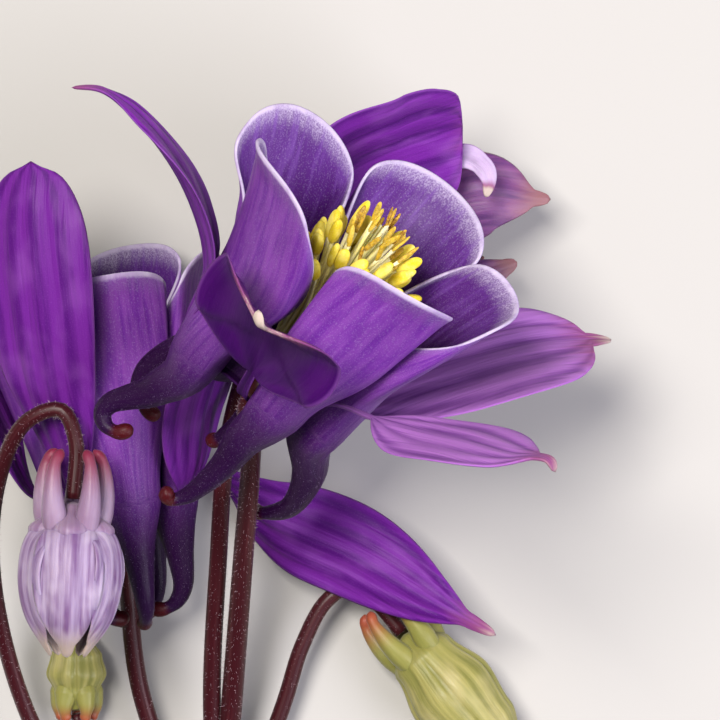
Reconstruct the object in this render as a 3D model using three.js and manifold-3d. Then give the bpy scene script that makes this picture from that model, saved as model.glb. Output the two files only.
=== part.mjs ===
// Columbine (Aquilegia vulgaris): a cut flowering stem laid on a flat surface.
// Millimetres, +Z up. The origin is the flat spot under the main stem where it lies on the surface.

import * as THREE from 'three';
import { mergeVertices } from 'three/addons/utils/BufferGeometryUtils.js';
import Module from 'manifold-3d';

const wasm = await Module();
wasm.setup();

// ---------------------------------------------------------------- driving dimensions

const WALL = 0.6;             // thickness of a petal, sepal or leaf blade
const GAP = 0.3;              // clearance between neighbouring pieces
const STEM_FLAT = 0.15;       // how far the lying stem is flattened where it rests

const THROAT_R = 7.6;         // petal back to bloom axis, at the throat
const BLADE_LENGTH = 22;      // petal blade from throat to rim
const BLADE_HALF_WIDTH = 6.2;
const BLADE_HALF_DEPTH = 3.0;
const SPUR_LENGTH = 14.5;     // along the curve, knob included
const SPUR_THROAT_RADIUS = 2.9;
const RECEPTACLE_R = 1.4;

const SEPAL_HALF_WIDTH = 7;
const CLAW_LENGTH = 6.4;      // narrow foot of a sepal, between two petals
const CLAW_HALF_WIDTH = 0.65;
const SEPAL_TIP_HALF_WIDTH = 0.45;

const ANTHER_LENGTH = 2.6;
const ANTHER_RADIUS = 0.62;
const FILAMENT_RADIUS = 0.3;

const PEDICEL_R = 0.9;
const BLOOM_HEIGHT = 30;      // receptacle of the main bloom above the surface

const SECTOR = Math.PI / 5;   // half the share of the circle that one petal has
const GOLDEN_ANGLE = Math.PI * (3 - Math.sqrt(5));

// ---------------------------------------------------------------- small helpers

const { degToRad, lerp, clamp, smoothstep } = THREE.MathUtils;
const vec = (x, y, z) => new THREE.Vector3(x, y, z);

function seeded(seed) {
  let state = seed;
  return () => {
    state = (state + 0x6d2b79f5) | 0;
    let t = Math.imul(state ^ (state >>> 15), 1 | state);
    t = (t + Math.imul(t ^ (t >>> 7), 61 | t)) ^ t;
    return ((t ^ (t >>> 14)) >>> 0) / 4294967296;
  };
}

// Straight lines between [position, value] pairs.
function profile(pairs) {
  return (x) => {
    let k = 1;
    while (k < pairs.length - 1 && x > pairs[k][0]) k += 1;
    const [x0, y0] = pairs[k - 1];
    const [x1, y1] = pairs[k];
    return lerp(y0, y1, clamp((x - x0) / (x1 - x0), 0, 1));
  };
}

// The same, eased at every pair.
function eased(pairs) {
  return (x) => {
    let k = 1;
    while (k < pairs.length - 1 && x > pairs[k][0]) k += 1;
    const [x0, y0] = pairs[k - 1];
    const [x1, y1] = pairs[k];
    return lerp(y0, y1, smoothstep(x, x0, x1));
  };
}

// A closed solid from points and faces, turned so that its faces point out.
function closedSolid(points, faces) {
  let volume = 0;
  for (let i = 0; i < faces.length; i += 3) {
    const [a, b, c] = [points[faces[i]], points[faces[i + 1]], points[faces[i + 2]]];
    volume += a.dot(b.clone().cross(c));
  }
  const order = volume < 0 ? faces.slice().reverse() : faces;
  const geometry = new THREE.BufferGeometry().setFromPoints(points);
  geometry.setIndex(order);
  return geometry;
}

// A skin over a row of rings. A ring of one point is a pole. From ring `turn` on the quads are
// split along the other diagonal, so that the inside of a thin wall is split like its outside.
function skin(rings, turn = Infinity) {
  const points = rings.flat();
  const faces = [];
  let start = 0;
  for (let k = 0; k + 1 < rings.length; k += 1) {
    const [low, high] = [rings[k].length, rings[k + 1].length];
    const sides = Math.max(low, high);
    const next = start + low;
    for (let i = 0; i < sides; i += 1) {
      const j = (i + 1) % sides;
      const a0 = start + (low > 1 ? i : 0);
      const a1 = start + (low > 1 ? j : 0);
      const b0 = next + (high > 1 ? i : 0);
      const b1 = next + (high > 1 ? j : 0);
      if (low === 1) faces.push(a0, b1, b0);
      else if (high === 1) faces.push(a0, a1, b0);
      else if (k < turn) faces.push(a0, a1, b1, a0, b1, b0);
      else faces.push(a0, a1, b0, a1, b1, b0);
    }
    start = next;
  }
  return closedSolid(points, faces);
}

// A thin solid on both sides of a sheet. at(u, v) gives a point of its middle, u and v from 0 to 1.
function sheet(columns, rows, at, thickness = WALL) {
  const step = 1e-3;
  const normalAt = (u, v) => {
    const along = at(Math.min(u + step, 1), v).sub(at(Math.max(u - step, 0), v));
    const across = at(u, Math.min(v + step, 1)).sub(at(u, Math.max(v - step, 0)));
    return along.cross(across).normalize();
  };
  const points = [];
  for (const side of [1, -1]) {
    for (let i = 0; i <= columns; i += 1) {
      for (let j = 0; j <= rows; j += 1) {
        const [u, v] = [i / columns, j / rows];
        points.push(at(u, v).addScaledVector(normalAt(u, v), side * thickness / 2));
      }
    }
  }
  const below = (columns + 1) * (rows + 1);
  const index = (i, j) => i * (rows + 1) + j;
  const faces = [];
  for (let i = 0; i < columns; i += 1) {
    for (let j = 0; j < rows; j += 1) {
      const [a, b, c, d] = [index(i, j), index(i + 1, j), index(i + 1, j + 1), index(i, j + 1)];
      faces.push(a, b, c, a, c, d);
      faces.push(below + c, below + b, below + a, below + d, below + c, below + a);
    }
  }
  const edge = (a, b) => faces.push(b, a, below + a, b, below + a, below + b);
  for (let i = 0; i < columns; i += 1) {
    edge(index(i, 0), index(i + 1, 0));
    edge(index(i + 1, rows), index(i, rows));
  }
  for (let j = 0; j < rows; j += 1) {
    edge(index(columns, j), index(columns, j + 1));
    edge(index(0, j + 1), index(0, j));
  }
  return closedSolid(points, faces);
}

// A tube along a smooth line. radius(t) is its radius at the share t of its length.
function tube(points, radius, sides = 8, rings = 10) {
  const curve = new THREE.CatmullRomCurve3(points, false, 'centripetal');
  const frames = curve.computeFrenetFrames(rings, false);
  const rows = [[curve.getPointAt(0)]];
  for (let k = 0; k <= rings; k += 1) {
    const t = k / rings;
    const centre = curve.getPointAt(t);
    const row = [];
    for (let i = 0; i < sides; i += 1) {
      const angle = 2 * Math.PI * i / sides;
      row.push(centre.clone()
        .addScaledVector(frames.normals[k], radius(t) * Math.cos(angle))
        .addScaledVector(frames.binormals[k], radius(t) * Math.sin(angle)));
    }
    rows.push(row);
  }
  rows.push([curve.getPointAt(1)]);
  return skin(rows);
}

// A turned solid from [radius, height] pairs, round the Z axis.
const lathe = (pairs, segments) => new THREE.LatheGeometry(
  pairs.map(([r, z]) => new THREE.Vector2(r, z)), segments,
).rotateX(Math.PI / 2);

function toManifold(geometry) {
  const bare = geometry.clone();
  bare.deleteAttribute('normal');
  bare.deleteAttribute('uv');
  const merged = mergeVertices(bare, 1e-5);
  return new wasm.Manifold(new wasm.Mesh({
    numProp: 3,
    vertProperties: new Float32Array(merged.attributes.position.array),
    triVerts: new Uint32Array(merged.index.array),
  }));
}

function fromManifold(solid) {
  const mesh = solid.getMesh();
  const geometry = new THREE.BufferGeometry();
  geometry.setAttribute('position', new THREE.BufferAttribute(mesh.vertProperties, 3));
  geometry.setIndex(new THREE.BufferAttribute(mesh.triVerts, 1));
  return geometry;
}

const fuse = (geometries) => fromManifold(geometries.map(toManifold).reduce((a, b) => a.add(b)));

// ---------------------------------------------------------------- petal

const spurRadius = profile([
  [0, 0.05], [0.5, 0.58], [1.2, 0.7], [2.2, 0.6], [4, 1.05], [6, 1.7], [9, 2.35], [12, 2.75],
  [SPUR_LENGTH, SPUR_THROAT_RADIUS],
]);
const SPUR_STOPS = [0.5, 1.2, 2.2, 3.4, 5, 8, 11.5];
const BLADE_STOPS = [0, 0.2, 0.42, 0.65, 0.85, 1];
const HOLLOW_FROM = 6;         // the spur is solid from its knob to here
const bladeDepth = eased([[0, SPUR_THROAT_RADIUS], [0.3, BLADE_HALF_DEPTH], [1, 2.2]]);
const bladeWidth = eased([[0, SPUR_THROAT_RADIUS + 0.2], [0.55, BLADE_HALF_WIDTH], [1, 5.9]]);

// Room between two petals: a thin slit, wider round the throat where the sepal's claw passes.
const slit = (z) => 0.25 + 0.85 * Math.exp(-(((z + 0.2) / 3.5) ** 2));

// Keeps a petal inside its own fifth of the bloom, easing into the limit.
function insideSector(point) {
  const limit = Math.max(0.25, point.x * Math.tan(SECTOR) - slit(point.z));
  const share = Math.abs(point.y) / limit;
  const soft = 0.75;
  if (share > soft) {
    const softened = soft + (1 - soft) * Math.tanh((share - soft) / (1 - soft));
    point.y = Math.sign(point.y) * softened * limit;
  }
  return point;
}

// The line along a petal's back in its own plane: x away from the bloom axis, z along it.
function backLine(length, heading) {
  const steps = 240;
  const step = length / steps;
  const xs = [0];
  const zs = [0];
  for (let k = 0; k < steps; k += 1) {
    const angle = heading((k + 0.5) * step);
    xs.push(xs[k] + Math.sin(angle) * step);
    zs.push(zs[k] + Math.cos(angle) * step);
  }
  return (s) => {
    const place = clamp(s / step, 0, steps - 1e-6);
    const k = Math.floor(place);
    return [lerp(xs[k], xs[k + 1], place - k), lerp(zs[k], zs[k + 1], place - k)];
  };
}

// One petal: a funnel whose back rises into the blade, and whose foot runs back into a hooked
// spur with a knob at its tip. It grows in its own frame: +X away from the bloom axis, +Z along it.
function petal({ flare, flareTip, hook, hookLength = 6, spurLean = 0, sway = 0, twist = 0, wave = 0,
  wavePhase = 0, sides = 14, spurStops = SPUR_STOPS, bladeStops = BLADE_STOPS, blade = BLADE_LENGTH,
  wide = 1 }) {
  const total = SPUR_LENGTH + blade;
  const heading = (s) => {
    const curl = degToRad(hook) * Math.max(0, 1 - s / hookLength) ** 1.5;
    const open = smoothstep(s, SPUR_LENGTH - 3, SPUR_LENGTH + 3);
    const tip = Math.max(0, (s - SPUR_LENGTH) / blade) ** 2;
    return curl + degToRad(lerp(spurLean, flare, open) + tip * (flareTip - flare));
  };
  const line = backLine(total, heading);
  const throat = line(SPUR_LENGTH);

  const surface = (s, angle) => {
    const [x, z] = line(s);
    const turn = heading(s);
    const share = (s - SPUR_LENGTH) / blade;
    const inSpur = share < 0;
    const depth = inSpur ? spurRadius(s) : bladeDepth(share);
    const width = inSpur ? depth : bladeWidth(share) * lerp(1, wide, share);
    const ripple = inSpur ? 0 : wave * share ** 2 * Math.sin(3 * angle + wavePhase);
    const roll = inSpur ? 0 : degToRad(twist) * smoothstep(share, 0, 1);
    const aside = inSpur ? sway * (1 - s / SPUR_LENGTH) ** 2 : 0;
    const inward = depth * (1 - Math.cos(angle)) - ripple;
    const across = width * Math.sin(angle);
    const back = -inward * Math.cos(roll) - across * Math.sin(roll);
    return insideSector(vec(
      x - throat[0] + THROAT_R + back * Math.cos(turn),
      aside + across * Math.cos(roll) - inward * Math.sin(roll),
      z - throat[1] - back * Math.sin(turn),
    ));
  };

  // The rim runs obliquely: full height at the back, down to a low lip at the throat's inner side.
  const rim = (angle) => Math.max(0.05, Math.max(0, 1 - (Math.abs(angle) / Math.PI) ** 2.2) ** 0.8);
  const at = (q, angle) => {
    const s = q < 1 ? q * SPUR_LENGTH : SPUR_LENGTH + (q - 1) * blade * rim(angle);
    return surface(s, angle);
  };
  const wallNormal = (q, angle) => {
    const e = 2e-3;
    const along = at(Math.min(q + e, 2), angle).sub(at(q - e, angle));
    const round = at(q, angle + e).sub(at(q, angle - e));
    return round.cross(along).normalize();
  };
  const angles = Array.from({ length: sides }, (_, i) => 2 * Math.PI * (i / sides) - Math.PI);
  const outer = (q) => angles.map((angle) => at(q, angle));
  const inner = (q) => angles.map((angle) => at(q, angle).addScaledVector(wallNormal(q, angle), -WALL));
  const centre = (q) => at(q, 0).add(at(q, Math.PI)).multiplyScalar(0.5);

  const spurShare = spurStops.map((s) => s / SPUR_LENGTH);
  const bladeShare = bladeStops.map((t) => 1 + t);
  const up = [...spurShare, ...bladeShare];
  const down = up.filter((q) => q * SPUR_LENGTH > HOLLOW_FROM).reverse();
  const rings = [
    [at(0, 0)], ...up.map(outer), ...down.map(inner), [centre(HOLLOW_FROM / SPUR_LENGTH)],
  ];
  return skin(rings, up.length);
}

// ---------------------------------------------------------------- sepal

// Half-width along a sepal's blade, 1 at its widest. The powers say how fast it opens and narrows.
function sepalOutline([open, narrow]) {
  const widest = open / (open + narrow);
  const peak = widest ** open * (1 - widest) ** narrow;
  return (x) => x ** open * (1 - x) ** narrow / peak;
}

// The claw's line from the receptacle out between two petals.
const CLAW = [[RECEPTACLE_R + GAP, 0, -0.9], [CLAW_LENGTH + 2, 0, 0.3]];

// One sepal: a narrow claw, then a pointed blade along a spine of [out, aside, along the axis] points.
// twist and fold are [share of length, degrees] pairs; fold raises both wings.
function sepal({ spine, halfWidth = SEPAL_HALF_WIDTH, outline = [0.7, 0.9], twist = [[0, 0], [1, 0]],
  fold = [[0, 0], [0.3, 12], [1, 14]], columns = 16, rows = 4, foot = CLAW, claw = CLAW_LENGTH }) {
  const points = [...foot, ...spine].map((p) => vec(...p));
  const curve = new THREE.CatmullRomCurve3(points, false, 'centripetal');
  const length = curve.getLength();
  const [twistAt, foldAt] = [eased(twist), eased(fold)];
  const share = sepalOutline(outline);
  const start = claw / length;
  const widthAt = (x) => {
    if (x < start) return CLAW_HALF_WIDTH;
    const t = (x - start) / (1 - start);
    return Math.hypot(halfWidth * share(t), lerp(CLAW_HALF_WIDTH, SEPAL_TIP_HALF_WIDTH, t));
  };
  const at = (u, v) => {
    const [turn, wing] = [degToRad(twistAt(u)), degToRad(foldAt(u))];
    const along = curve.getTangentAt(u);
    const level = vec(0, 1, 0).addScaledVector(along, -along.y).normalize();
    const up = along.clone().cross(level);
    const side = level.clone().multiplyScalar(Math.cos(turn)).addScaledVector(up, Math.sin(turn));
    const face = up.multiplyScalar(Math.cos(turn)).addScaledVector(level, -Math.sin(turn));
    const out = 2 * v - 1;
    const width = widthAt(u);
    const raise = Math.sin(wing) * (Math.sqrt(out * out + 0.04) - 0.2);
    return curve.getPointAt(u).addScaledVector(side, width * out * Math.cos(wing))
      .addScaledVector(face, width * raise);
  };
  return sheet(columns, rows, at);
}

// ---------------------------------------------------------------- stamens

// A column of filaments on the receptacle, spreading into anthers. One solid.
function stamens({ count, reach, spread, seed }) {
  const random = seeded(seed);
  const [low, high] = reach;
  const base = RECEPTACLE_R + GAP;
  const column = [[0, base], [1.2, base + 0.2], [1.7, base + 1.2], [1.7, 6], [1.15, 11], [0.6, 14], [0, 15]];
  const solids = [lathe(column, 10)];
  for (let n = 0; n < count; n += 1) {
    const share = (n + 0.5) / count;
    const angle = n * GOLDEN_ANGLE;
    const out = spread * Math.sqrt(share) * (0.9 + 0.2 * random());
    const height = lerp(high, low, share ** 0.8) + 1.2 * (random() - 0.5);
    const away = vec(Math.cos(angle), Math.sin(angle), 0);
    const root = away.clone().multiplyScalar(0.55).setZ(height * 0.5);
    const bend = away.clone().multiplyScalar(out * 0.5).setZ(height * 0.8);
    const end = away.clone().multiplyScalar(out).setZ(height);
    const point = end.clone().sub(bend).normalize();
    const anther = end.clone().addScaledVector(point, ANTHER_LENGTH);
    const across = point.clone().cross(away).normalize();
    const upright = across.clone().cross(point);
    const ring = (centre, radius) => [0, 1, 2, 3].map((i) => {
      const turn = Math.PI / 2 * i;
      return centre.clone().addScaledVector(across, radius * Math.cos(turn))
        .addScaledVector(upright, radius * Math.sin(turn));
    });
    solids.push(skin([
      [root], ring(root, FILAMENT_RADIUS), ring(bend, FILAMENT_RADIUS), ring(end, FILAMENT_RADIUS),
      ring(end.clone().lerp(anther, 0.22), ANTHER_RADIUS),
      ring(end.clone().lerp(anther, 0.78), ANTHER_RADIUS * 0.9), [anther],
    ]));
  }
  return fuse(solids);
}

// ---------------------------------------------------------------- whole blooms and buds as one solid

const turned = (geometry, at) => geometry.rotateZ(degToRad(at));

// Petals, sepals and the receptacle that joins them.
function corolla(petals, sepals) {
  const receptacle = lathe([[0, -1.6], [1.3, -1.5], [2.6, -0.6], [2.7, 0.4], [1.6, 1.2], [0, 1.3]], 10);
  return fuse([
    receptacle,
    ...petals.map((spec) => turned(petal(spec), spec.at)),
    ...sepals.map((spec) => turned(sepal(spec), spec.at)),
  ]);
}

const FIVE = [0, 1, 2, 3, 4];

// The spurs of a bud, in a ring behind it, their tips leaning to its stalk.
function budSpurs({ radius, spur }) {
  const r = radius * 0.56;
  const lean = Math.min(1, spur * 0.15);
  const line = [
    vec(r, 0, 0.4), vec(r * 1.1, 0, -spur * 0.35), vec(r, 0, -spur * 0.8), vec(r - lean, 0, -spur),
  ];
  const thickness = profile([[0, 1.2], [0.45, 0.85], [0.8, 0.55], [1, 0.5]]);
  return FIVE.map((n) => turned(tube(line, thickness, 5, 4), 72 * n + 36));
}

// A closed bud: five sepals shut edge to edge, grooved where they meet. +Z is its tip.
function closedBud({ length, radius, spur }) {
  const body = [
    [1.2, -1],
    [radius * 0.75, length * 0.1],
    [radius, length * 0.35],
    [radius * 0.86, length * 0.6],
    [radius * 0.5, length * 0.84],
  ];
  const groove = 0.86;
  const rings = body.map(([r, z], k) => Array.from({ length: 15 }, (_, i) => {
    const angle = 2 * Math.PI * i / 15;
    const out = r * (k > 0 && i % 3 === 0 ? groove : 1);
    return vec(out * Math.cos(angle), out * Math.sin(angle), z);
  }));
  const shell = skin([[vec(0, 0, -1.2)], ...rings, [vec(0, 0, length)]]);
  return fuse([shell, ...budSpurs({ radius, spur })]);
}

// A half-open bloom: five sepals standing round the shut petals.
function halfOpenBloom({ length, radius, spur, flare }) {
  const core = lathe([
    [0, -1.2],
    [1.2, -1],
    [radius * 0.78, length * 0.1],
    [radius * 0.7, length * 0.4],
    [radius * 0.5, length * 0.7],
    [0, length * 0.86],
  ], 8);
  const spine = [
    [radius * 0.84, 0, length * 0.14],
    [radius, 0, length * 0.4],
    [radius * 0.86, 0, length * 0.7],
    [radius * (0.25 + flare), 0, length],
  ];
  const cover = { spine, foot: [[1, 0, -0.4]], claw: 0, halfWidth: radius * 0.58, columns: 6, rows: 2,
    outline: [0.55, 0.55], fold: [[0, 24], [1, 24]] };
  return fuse([
    core,
    ...FIVE.map((n) => turned(sepal(cover), 72 * n)),
    ...budSpurs({ radius, spur }),
  ]);
}

// ---------------------------------------------------------------- leaves

const LOBE_STEP = 38;          // degrees between the three lobes of a leaflet
const LEAFLET_HALF_ANGLE = 54;
const SIDE_LEAFLET_TURN = 82;
const BLADE_REST = 0.35;      // middle of a leaf blade above the surface, where it is lowest

// A fan-shaped leaflet with three round-toothed lobes. Its stalk is at the origin and it runs along +X.
function leaflet({ size, arch }) {
  const at = (u, v) => {
    const degrees = lerp(-LEAFLET_HALF_ANGLE, LEAFLET_HALF_ANGLE, u);
    const angle = degToRad(degrees);
    const lobes = Math.cos(2 * Math.PI * degrees / LOBE_STEP);
    const teeth = Math.cos(6 * Math.PI * degrees / LOBE_STEP);
    const edge = size * (0.78 + 0.15 * lobes + 0.05 * teeth) * (1 - 0.12 * (u * 2 - 1) ** 2);
    const out = lerp(0.1, 1, v);
    const height = arch * Math.sin(Math.PI * Math.min(1, out * 0.9)) + 0.9 * lobes * out ** 2;
    return vec(edge * out * Math.cos(angle), edge * out * Math.sin(angle), BLADE_REST + Math.max(0, height));
  };
  return sheet(18, 2, at);
}

// A leaf of three leaflets on thin stalks, lying on the surface. +X runs from its base to its tip.
function leaf({ stalk, size, arch }) {
  const rise = 0.8;
  const solids = [tube([vec(0, 0, 0.9), vec(stalk * 0.5, 0.6, rise), vec(stalk, 0, rise)], () => 0.7, 6, 4)];
  for (const turn of [-SIDE_LEAFLET_TURN, 0, SIDE_LEAFLET_TURN]) {
    const reach = turn === 0 ? size * 0.34 : size * 0.2;
    const way = vec(Math.cos(degToRad(turn)), Math.sin(degToRad(turn)), 0);
    const hub = vec(stalk, 0, rise);
    const end = hub.clone().addScaledVector(way, reach);
    const inside = end.clone().addScaledVector(way, size * 0.16).setZ(1.3);
    solids.push(tube([hub.clone().addScaledVector(way, -0.3), inside], profile([[0, 0.6], [1, 0.42]]), 6, 1));
    solids.push(leaflet({ size, arch }).rotateZ(degToRad(turn)).translate(end.x, end.y, 0));
  }
  return fuse(solids);
}

// ---------------------------------------------------------------- colours and placing

const PETAL_VIOLET = 0x5b3aa6;
const SEPAL_PURPLE = 0x7a2fa8;
const ANTHER_YELLOW = 0xf2dc1e;
const STEM_MAROON = 0x5a1f24;
const LEAF_GREEN = 0x5f7a45;
const BUD_GREEN = 0xb9b37a;
const YOUNG_LILAC = 0xb9a3c4;

const columbine = new THREE.Group();

function piece(name, geometry, color, parent = columbine) {
  const material = new THREE.MeshStandardMaterial({ color, roughness: 0.6, metalness: 0 });
  const mesh = new THREE.Mesh(geometry, material);
  mesh.name = name;
  parent.add(mesh);
  return mesh;
}

// A frame with +Z along a bloom's axis and +X as near to straight up as that allows.
function bloomFrame(receptacle, plan, elevation) {
  const [p, e] = [degToRad(plan), degToRad(elevation)];
  const axis = vec(Math.cos(e) * Math.cos(p), Math.cos(e) * Math.sin(p), Math.sin(e));
  const top = vec(0, 0, 1).addScaledVector(axis, -axis.z).normalize();
  const group = new THREE.Group();
  group.position.copy(receptacle);
  group.quaternion.setFromRotationMatrix(
    new THREE.Matrix4().makeBasis(top, axis.clone().cross(top), axis),
  );
  columbine.add(group);
  return group;
}

// ---------------------------------------------------------------- main bloom

const mainReceptacle = vec(3.33, 60.48, BLOOM_HEIGHT);
const mainBloom = bloomFrame(mainReceptacle, 52, 25);

const MAIN_PETALS = [
  { at: 26, flare: 6, flareTip: 12, hook: 95, sway: -3, blade: 20.5, wide: 1.2, wave: 0.25,
    wavePhase: 0.5 },
  { at: 98, flare: 12, flareTip: 22, hook: 50, spurLean: -4, twist: 24, wave: 0.35, wavePhase: 2 },
  { at: 170, flare: 14, flareTip: 24, hook: 80, sway: 1.5, wide: 1.1, wave: 0.3, wavePhase: 1 },
  { at: 242, flare: 16, flareTip: 29, hook: 110, spurLean: -16, twist: -32, wide: 1.08, wave: 0.3 },
  { at: 314, flare: 15, flareTip: 27, hook: 150, spurLean: -22, sway: -3, blade: 24, wave: 0.3,
    wavePhase: 3 },
];
MAIN_PETALS.forEach((spec, i) => {
  const mesh = piece(`petal_${i + 1}`, petal(spec), PETAL_VIOLET, mainBloom);
  mesh.rotation.z = degToRad(spec.at);
});

const MAIN_SEPALS = [
  { at: -11, halfWidth: 8,
    spine: [[13, 0, 7.5], [18.5, 0, 13.2], [22.5, 0, 15.5]],
    twist: [[0, 0], [0.2, 0], [0.45, -6], [1, 0]],
    fold: [[0, 0], [0.2, 10], [0.45, 28], [1, 20]] },
  { at: 62, halfWidth: 6.5,
    spine: [[13.2, 0, 8.2], [17.9, 0, 11.5], [23.4, 0, 15], [26.6, 0, 17.6], [27.6, 0, 17]],
    twist: [[0, 0], [0.2, 0], [0.5, 6], [1, 6]] },
  { at: 134,
    spine: [[15, 0, 6], [23, 0, 12], [29, 0, 14.8], [31.5, 0, 15.5]] },
  { at: 206, halfWidth: 7.6, outline: [0.8, 0.6],
    spine: [[14, -0.8, 7.5], [18.5, -3.5, 14.2], [21.5, -7.5, 18.4], [22.6, -12, 19.2],
      [21.5, -15.5, 16.8]],
    twist: [[0, 0], [0.3, 0], [0.6, 30], [1, 30]] },
  { at: -82, halfWidth: 4.6,
    spine: [[10.8, 0, 7], [16.3, 0, 12], [22.7, 0, 14.7], [27.2, 0, 15.1], [29.6, 0, 13.7]],
    twist: [[0, 0], [0.25, 0], [0.5, 14], [1, 10]] },
];
MAIN_SEPALS.forEach((spec, i) => {
  const mesh = piece(`sepal_${i + 1}`, sepal(spec), SEPAL_PURPLE, mainBloom);
  mesh.rotation.z = degToRad(spec.at);
});

piece('stamens', stamens({ count: 27, reach: [12.2, 19.2], spread: 4.3, seed: 5 }), ANTHER_YELLOW, mainBloom);

// ---------------------------------------------------------------- second bloom, on its left, lying low

const leftBloom = bloomFrame(vec(-10.5, 50.8, 8.9), 98, 8);
const LOW_DETAIL = { sides: 10, spurStops: [0.7, 1.6, 3.4, 7, 11], bladeStops: [0, 0.5, 1] };
const LEFT_PETALS = [
  { at: 12, flare: 8, flareTip: 14, hook: 90 },
  { at: 84, flare: 8, flareTip: 14, hook: 120 },
  { at: 156, flare: 7, flareTip: 12, hook: 100 },
  { at: 228, flare: 9, flareTip: 18, hook: 80 },
  { at: 300, flare: 10, flareTip: 20, hook: 110 },
].map((spec) => ({ ...spec, ...LOW_DETAIL }));
const LEFT_SEPALS = [
  { at: 336, halfWidth: 5.5, spine: [[10, 0, 6], [12.5, 0.5, 13], [13.5, 1.2, 20], [11, 2, 27]] },
  { at: 48, halfWidth: 4.4, spine: [[10.5, 1, 7], [13, 2.2, 13], [13.5, 3, 18], [13.5, 3.5, 22]] },
  { at: 120, halfWidth: 5.4,
    spine: [[12.8, -3.9, -3.6], [18.3, -10.2, -8.3], [22.4, -15.6, -12.8], [26.3, -19.6, -16.6]],
    twist: [[0, 0], [0.2, 0], [0.5, -65], [1, -65]] },
  { at: 192, halfWidth: 5.5, spine: [[9.6, 1, 6], [9.8, 2, 12], [9, 3, 18], [8, 3.5, 22]] },
  { at: 264, halfWidth: 6, spine: [[11, 0, 7.5], [13, 0.8, 15], [12.6, 1.8, 22], [11, 2.6, 27]] },
].map((spec) => ({ ...spec, columns: 9, rows: 2 }));
piece('left_bloom', corolla(LEFT_PETALS, LEFT_SEPALS), PETAL_VIOLET, leftBloom);
piece('left_stamens', stamens({ count: 8, reach: [12, 17], spread: 3.2, seed: 9 }), ANTHER_YELLOW, leftBloom);

// ---------------------------------------------------------------- half-open blooms and buds

const backBloom = bloomFrame(vec(14.5, 72.3, 5), 11, 0);
piece('half_open_bloom', halfOpenBloom({ length: 15.5, radius: 5, spur: 8, flare: 0.22 }),
  SEPAL_PURPLE, backBloom);
const youngBloom = bloomFrame(vec(-14.2, 48.8, 22.5), -92, 0);
piece('young_bloom', halfOpenBloom({ length: 13, radius: 4.8, spur: 6, flare: 0.3 }),
  YOUNG_LILAC, youngBloom);
const noddingBud = bloomFrame(vec(17.1, 35.8, 4.4), -50, 0);
piece('nodding_bud', closedBud({ length: 17, radius: 4.4, spur: 5 }), BUD_GREEN, noddingBud);
const smallBud = bloomFrame(vec(-15.1, 30.5, 2.9), 90, 0);
piece('small_bud', closedBud({ length: 6.8, radius: 2.9, spur: 2 }), BUD_GREEN, smallBud);

// ---------------------------------------------------------------- stems

const STEM_R = 1.25;
const STALK_R = 0.7;
const BUD_FOOT = 1.2;                    // from a bud's origin back to where its stalk meets it
const BLOOM_FOOT = 1.6;                  // the same of the second bloom
const STEM_REST = STEM_R - STEM_FLAT;    // height of the main stem's middle where it lies on the surface
columbine.updateMatrixWorld(true);
const behind = (frame, distance) => frame.localToWorld(vec(0, 0, -distance));
const toBud = (frame) => behind(frame, BUD_FOOT + GAP);

const STEM_LINES = [
  // the main stem, from its cut end to the main bloom
  { points: [vec(3.5, -27, 1.5), vec(1.2, -13, 1.2), vec(0, 0, STEM_REST), vec(-1, 10, 1.3),
      vec(-1, 20, 3.4), vec(0.03, 31.3, 7.5), vec(1.25, 44.4, 15.8), vec(2.2, 54.3, 24.2),
      behind(mainBloom, 2), behind(mainBloom, 0.2)],
    radius: [[0, 1.6], [0.3, STEM_R], [0.55, 1.05], [0.9, PEDICEL_R], [1, 1.1]], sides: 8, rings: 20 },
  // beside it, the stem that passes under the main bloom to the half-open one
  { points: [vec(-1, 13, 1.6), vec(-1.6, 20, 3.2), vec(-1.95, 31.1, 7), vec(-1.15, 44.3, 13),
      vec(-0.3, 54.6, 16), vec(1.2, 61.5, 13.5), vec(3, 67, 9), vec(5.8, 70.3, 5.6),
      vec(9.5, 71.3, 5), toBud(backBloom)],
    radius: [[0, 0.9], [1, 0.75]], sides: 6, rings: 16 },
  // to the second bloom
  { points: [vec(-1, 10, 1.3), vec(-5, 20, 2.6), vec(-8.9, 31.4, 4), vec(-9.9, 41, 6.8),
      behind(leftBloom, BLOOM_FOOT + GAP)],
    radius: [[0, 0.9], [1, 0.85]], sides: 6, rings: 8 },
  // up and over to the young bloom that nods
  { points: [vec(-1, 8, 1.2), vec(-9, 14, 2), vec(-18, 26, 6), vec(-22, 40, 12), vec(-21.5, 51, 18.5),
      vec(-18.5, 57.3, 22), vec(-15.2, 58.4, 22.8), vec(-13.9, 55.5, 22.6), toBud(youngBloom)],
    radius: [[0, 0.85], [1, STALK_R]], sides: 6, rings: 16 },
  // round the bend to the nodding bud
  { points: [vec(-1, 11, 1.4), vec(2, 22, 2.2), vec(4.97, 30.4, 3.2), vec(6.6, 35.6, 4),
      vec(9, 40, 4.6), vec(11.6, 41.4, 4.6), vec(13.6, 39.9, 4.4), toBud(noddingBud)],
    radius: [[0, 0.85], [1, STALK_R]], sides: 6, rings: 14 },
  // to the small bud
  { points: [vec(-0.5, 4, 1.2), vec(-8, 12, 1.3), vec(-13.5, 22, 2), toBud(smallBud)],
    radius: [[0, 0.8], [1, 0.55]], sides: 6, rings: 6 },
];
const receptacle = lathe([[0, -1.2], [1.1, -1], [RECEPTACLE_R, -0.2], [1.2, 0.9], [0, RECEPTACLE_R]], 8)
  .applyMatrix4(mainBloom.matrixWorld);
piece('stem', fuse([
  receptacle,
  ...STEM_LINES.map((line) => tube(line.points, profile(line.radius), line.sides, line.rings)),
]), STEM_MAROON);

// ---------------------------------------------------------------- leaves

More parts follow.
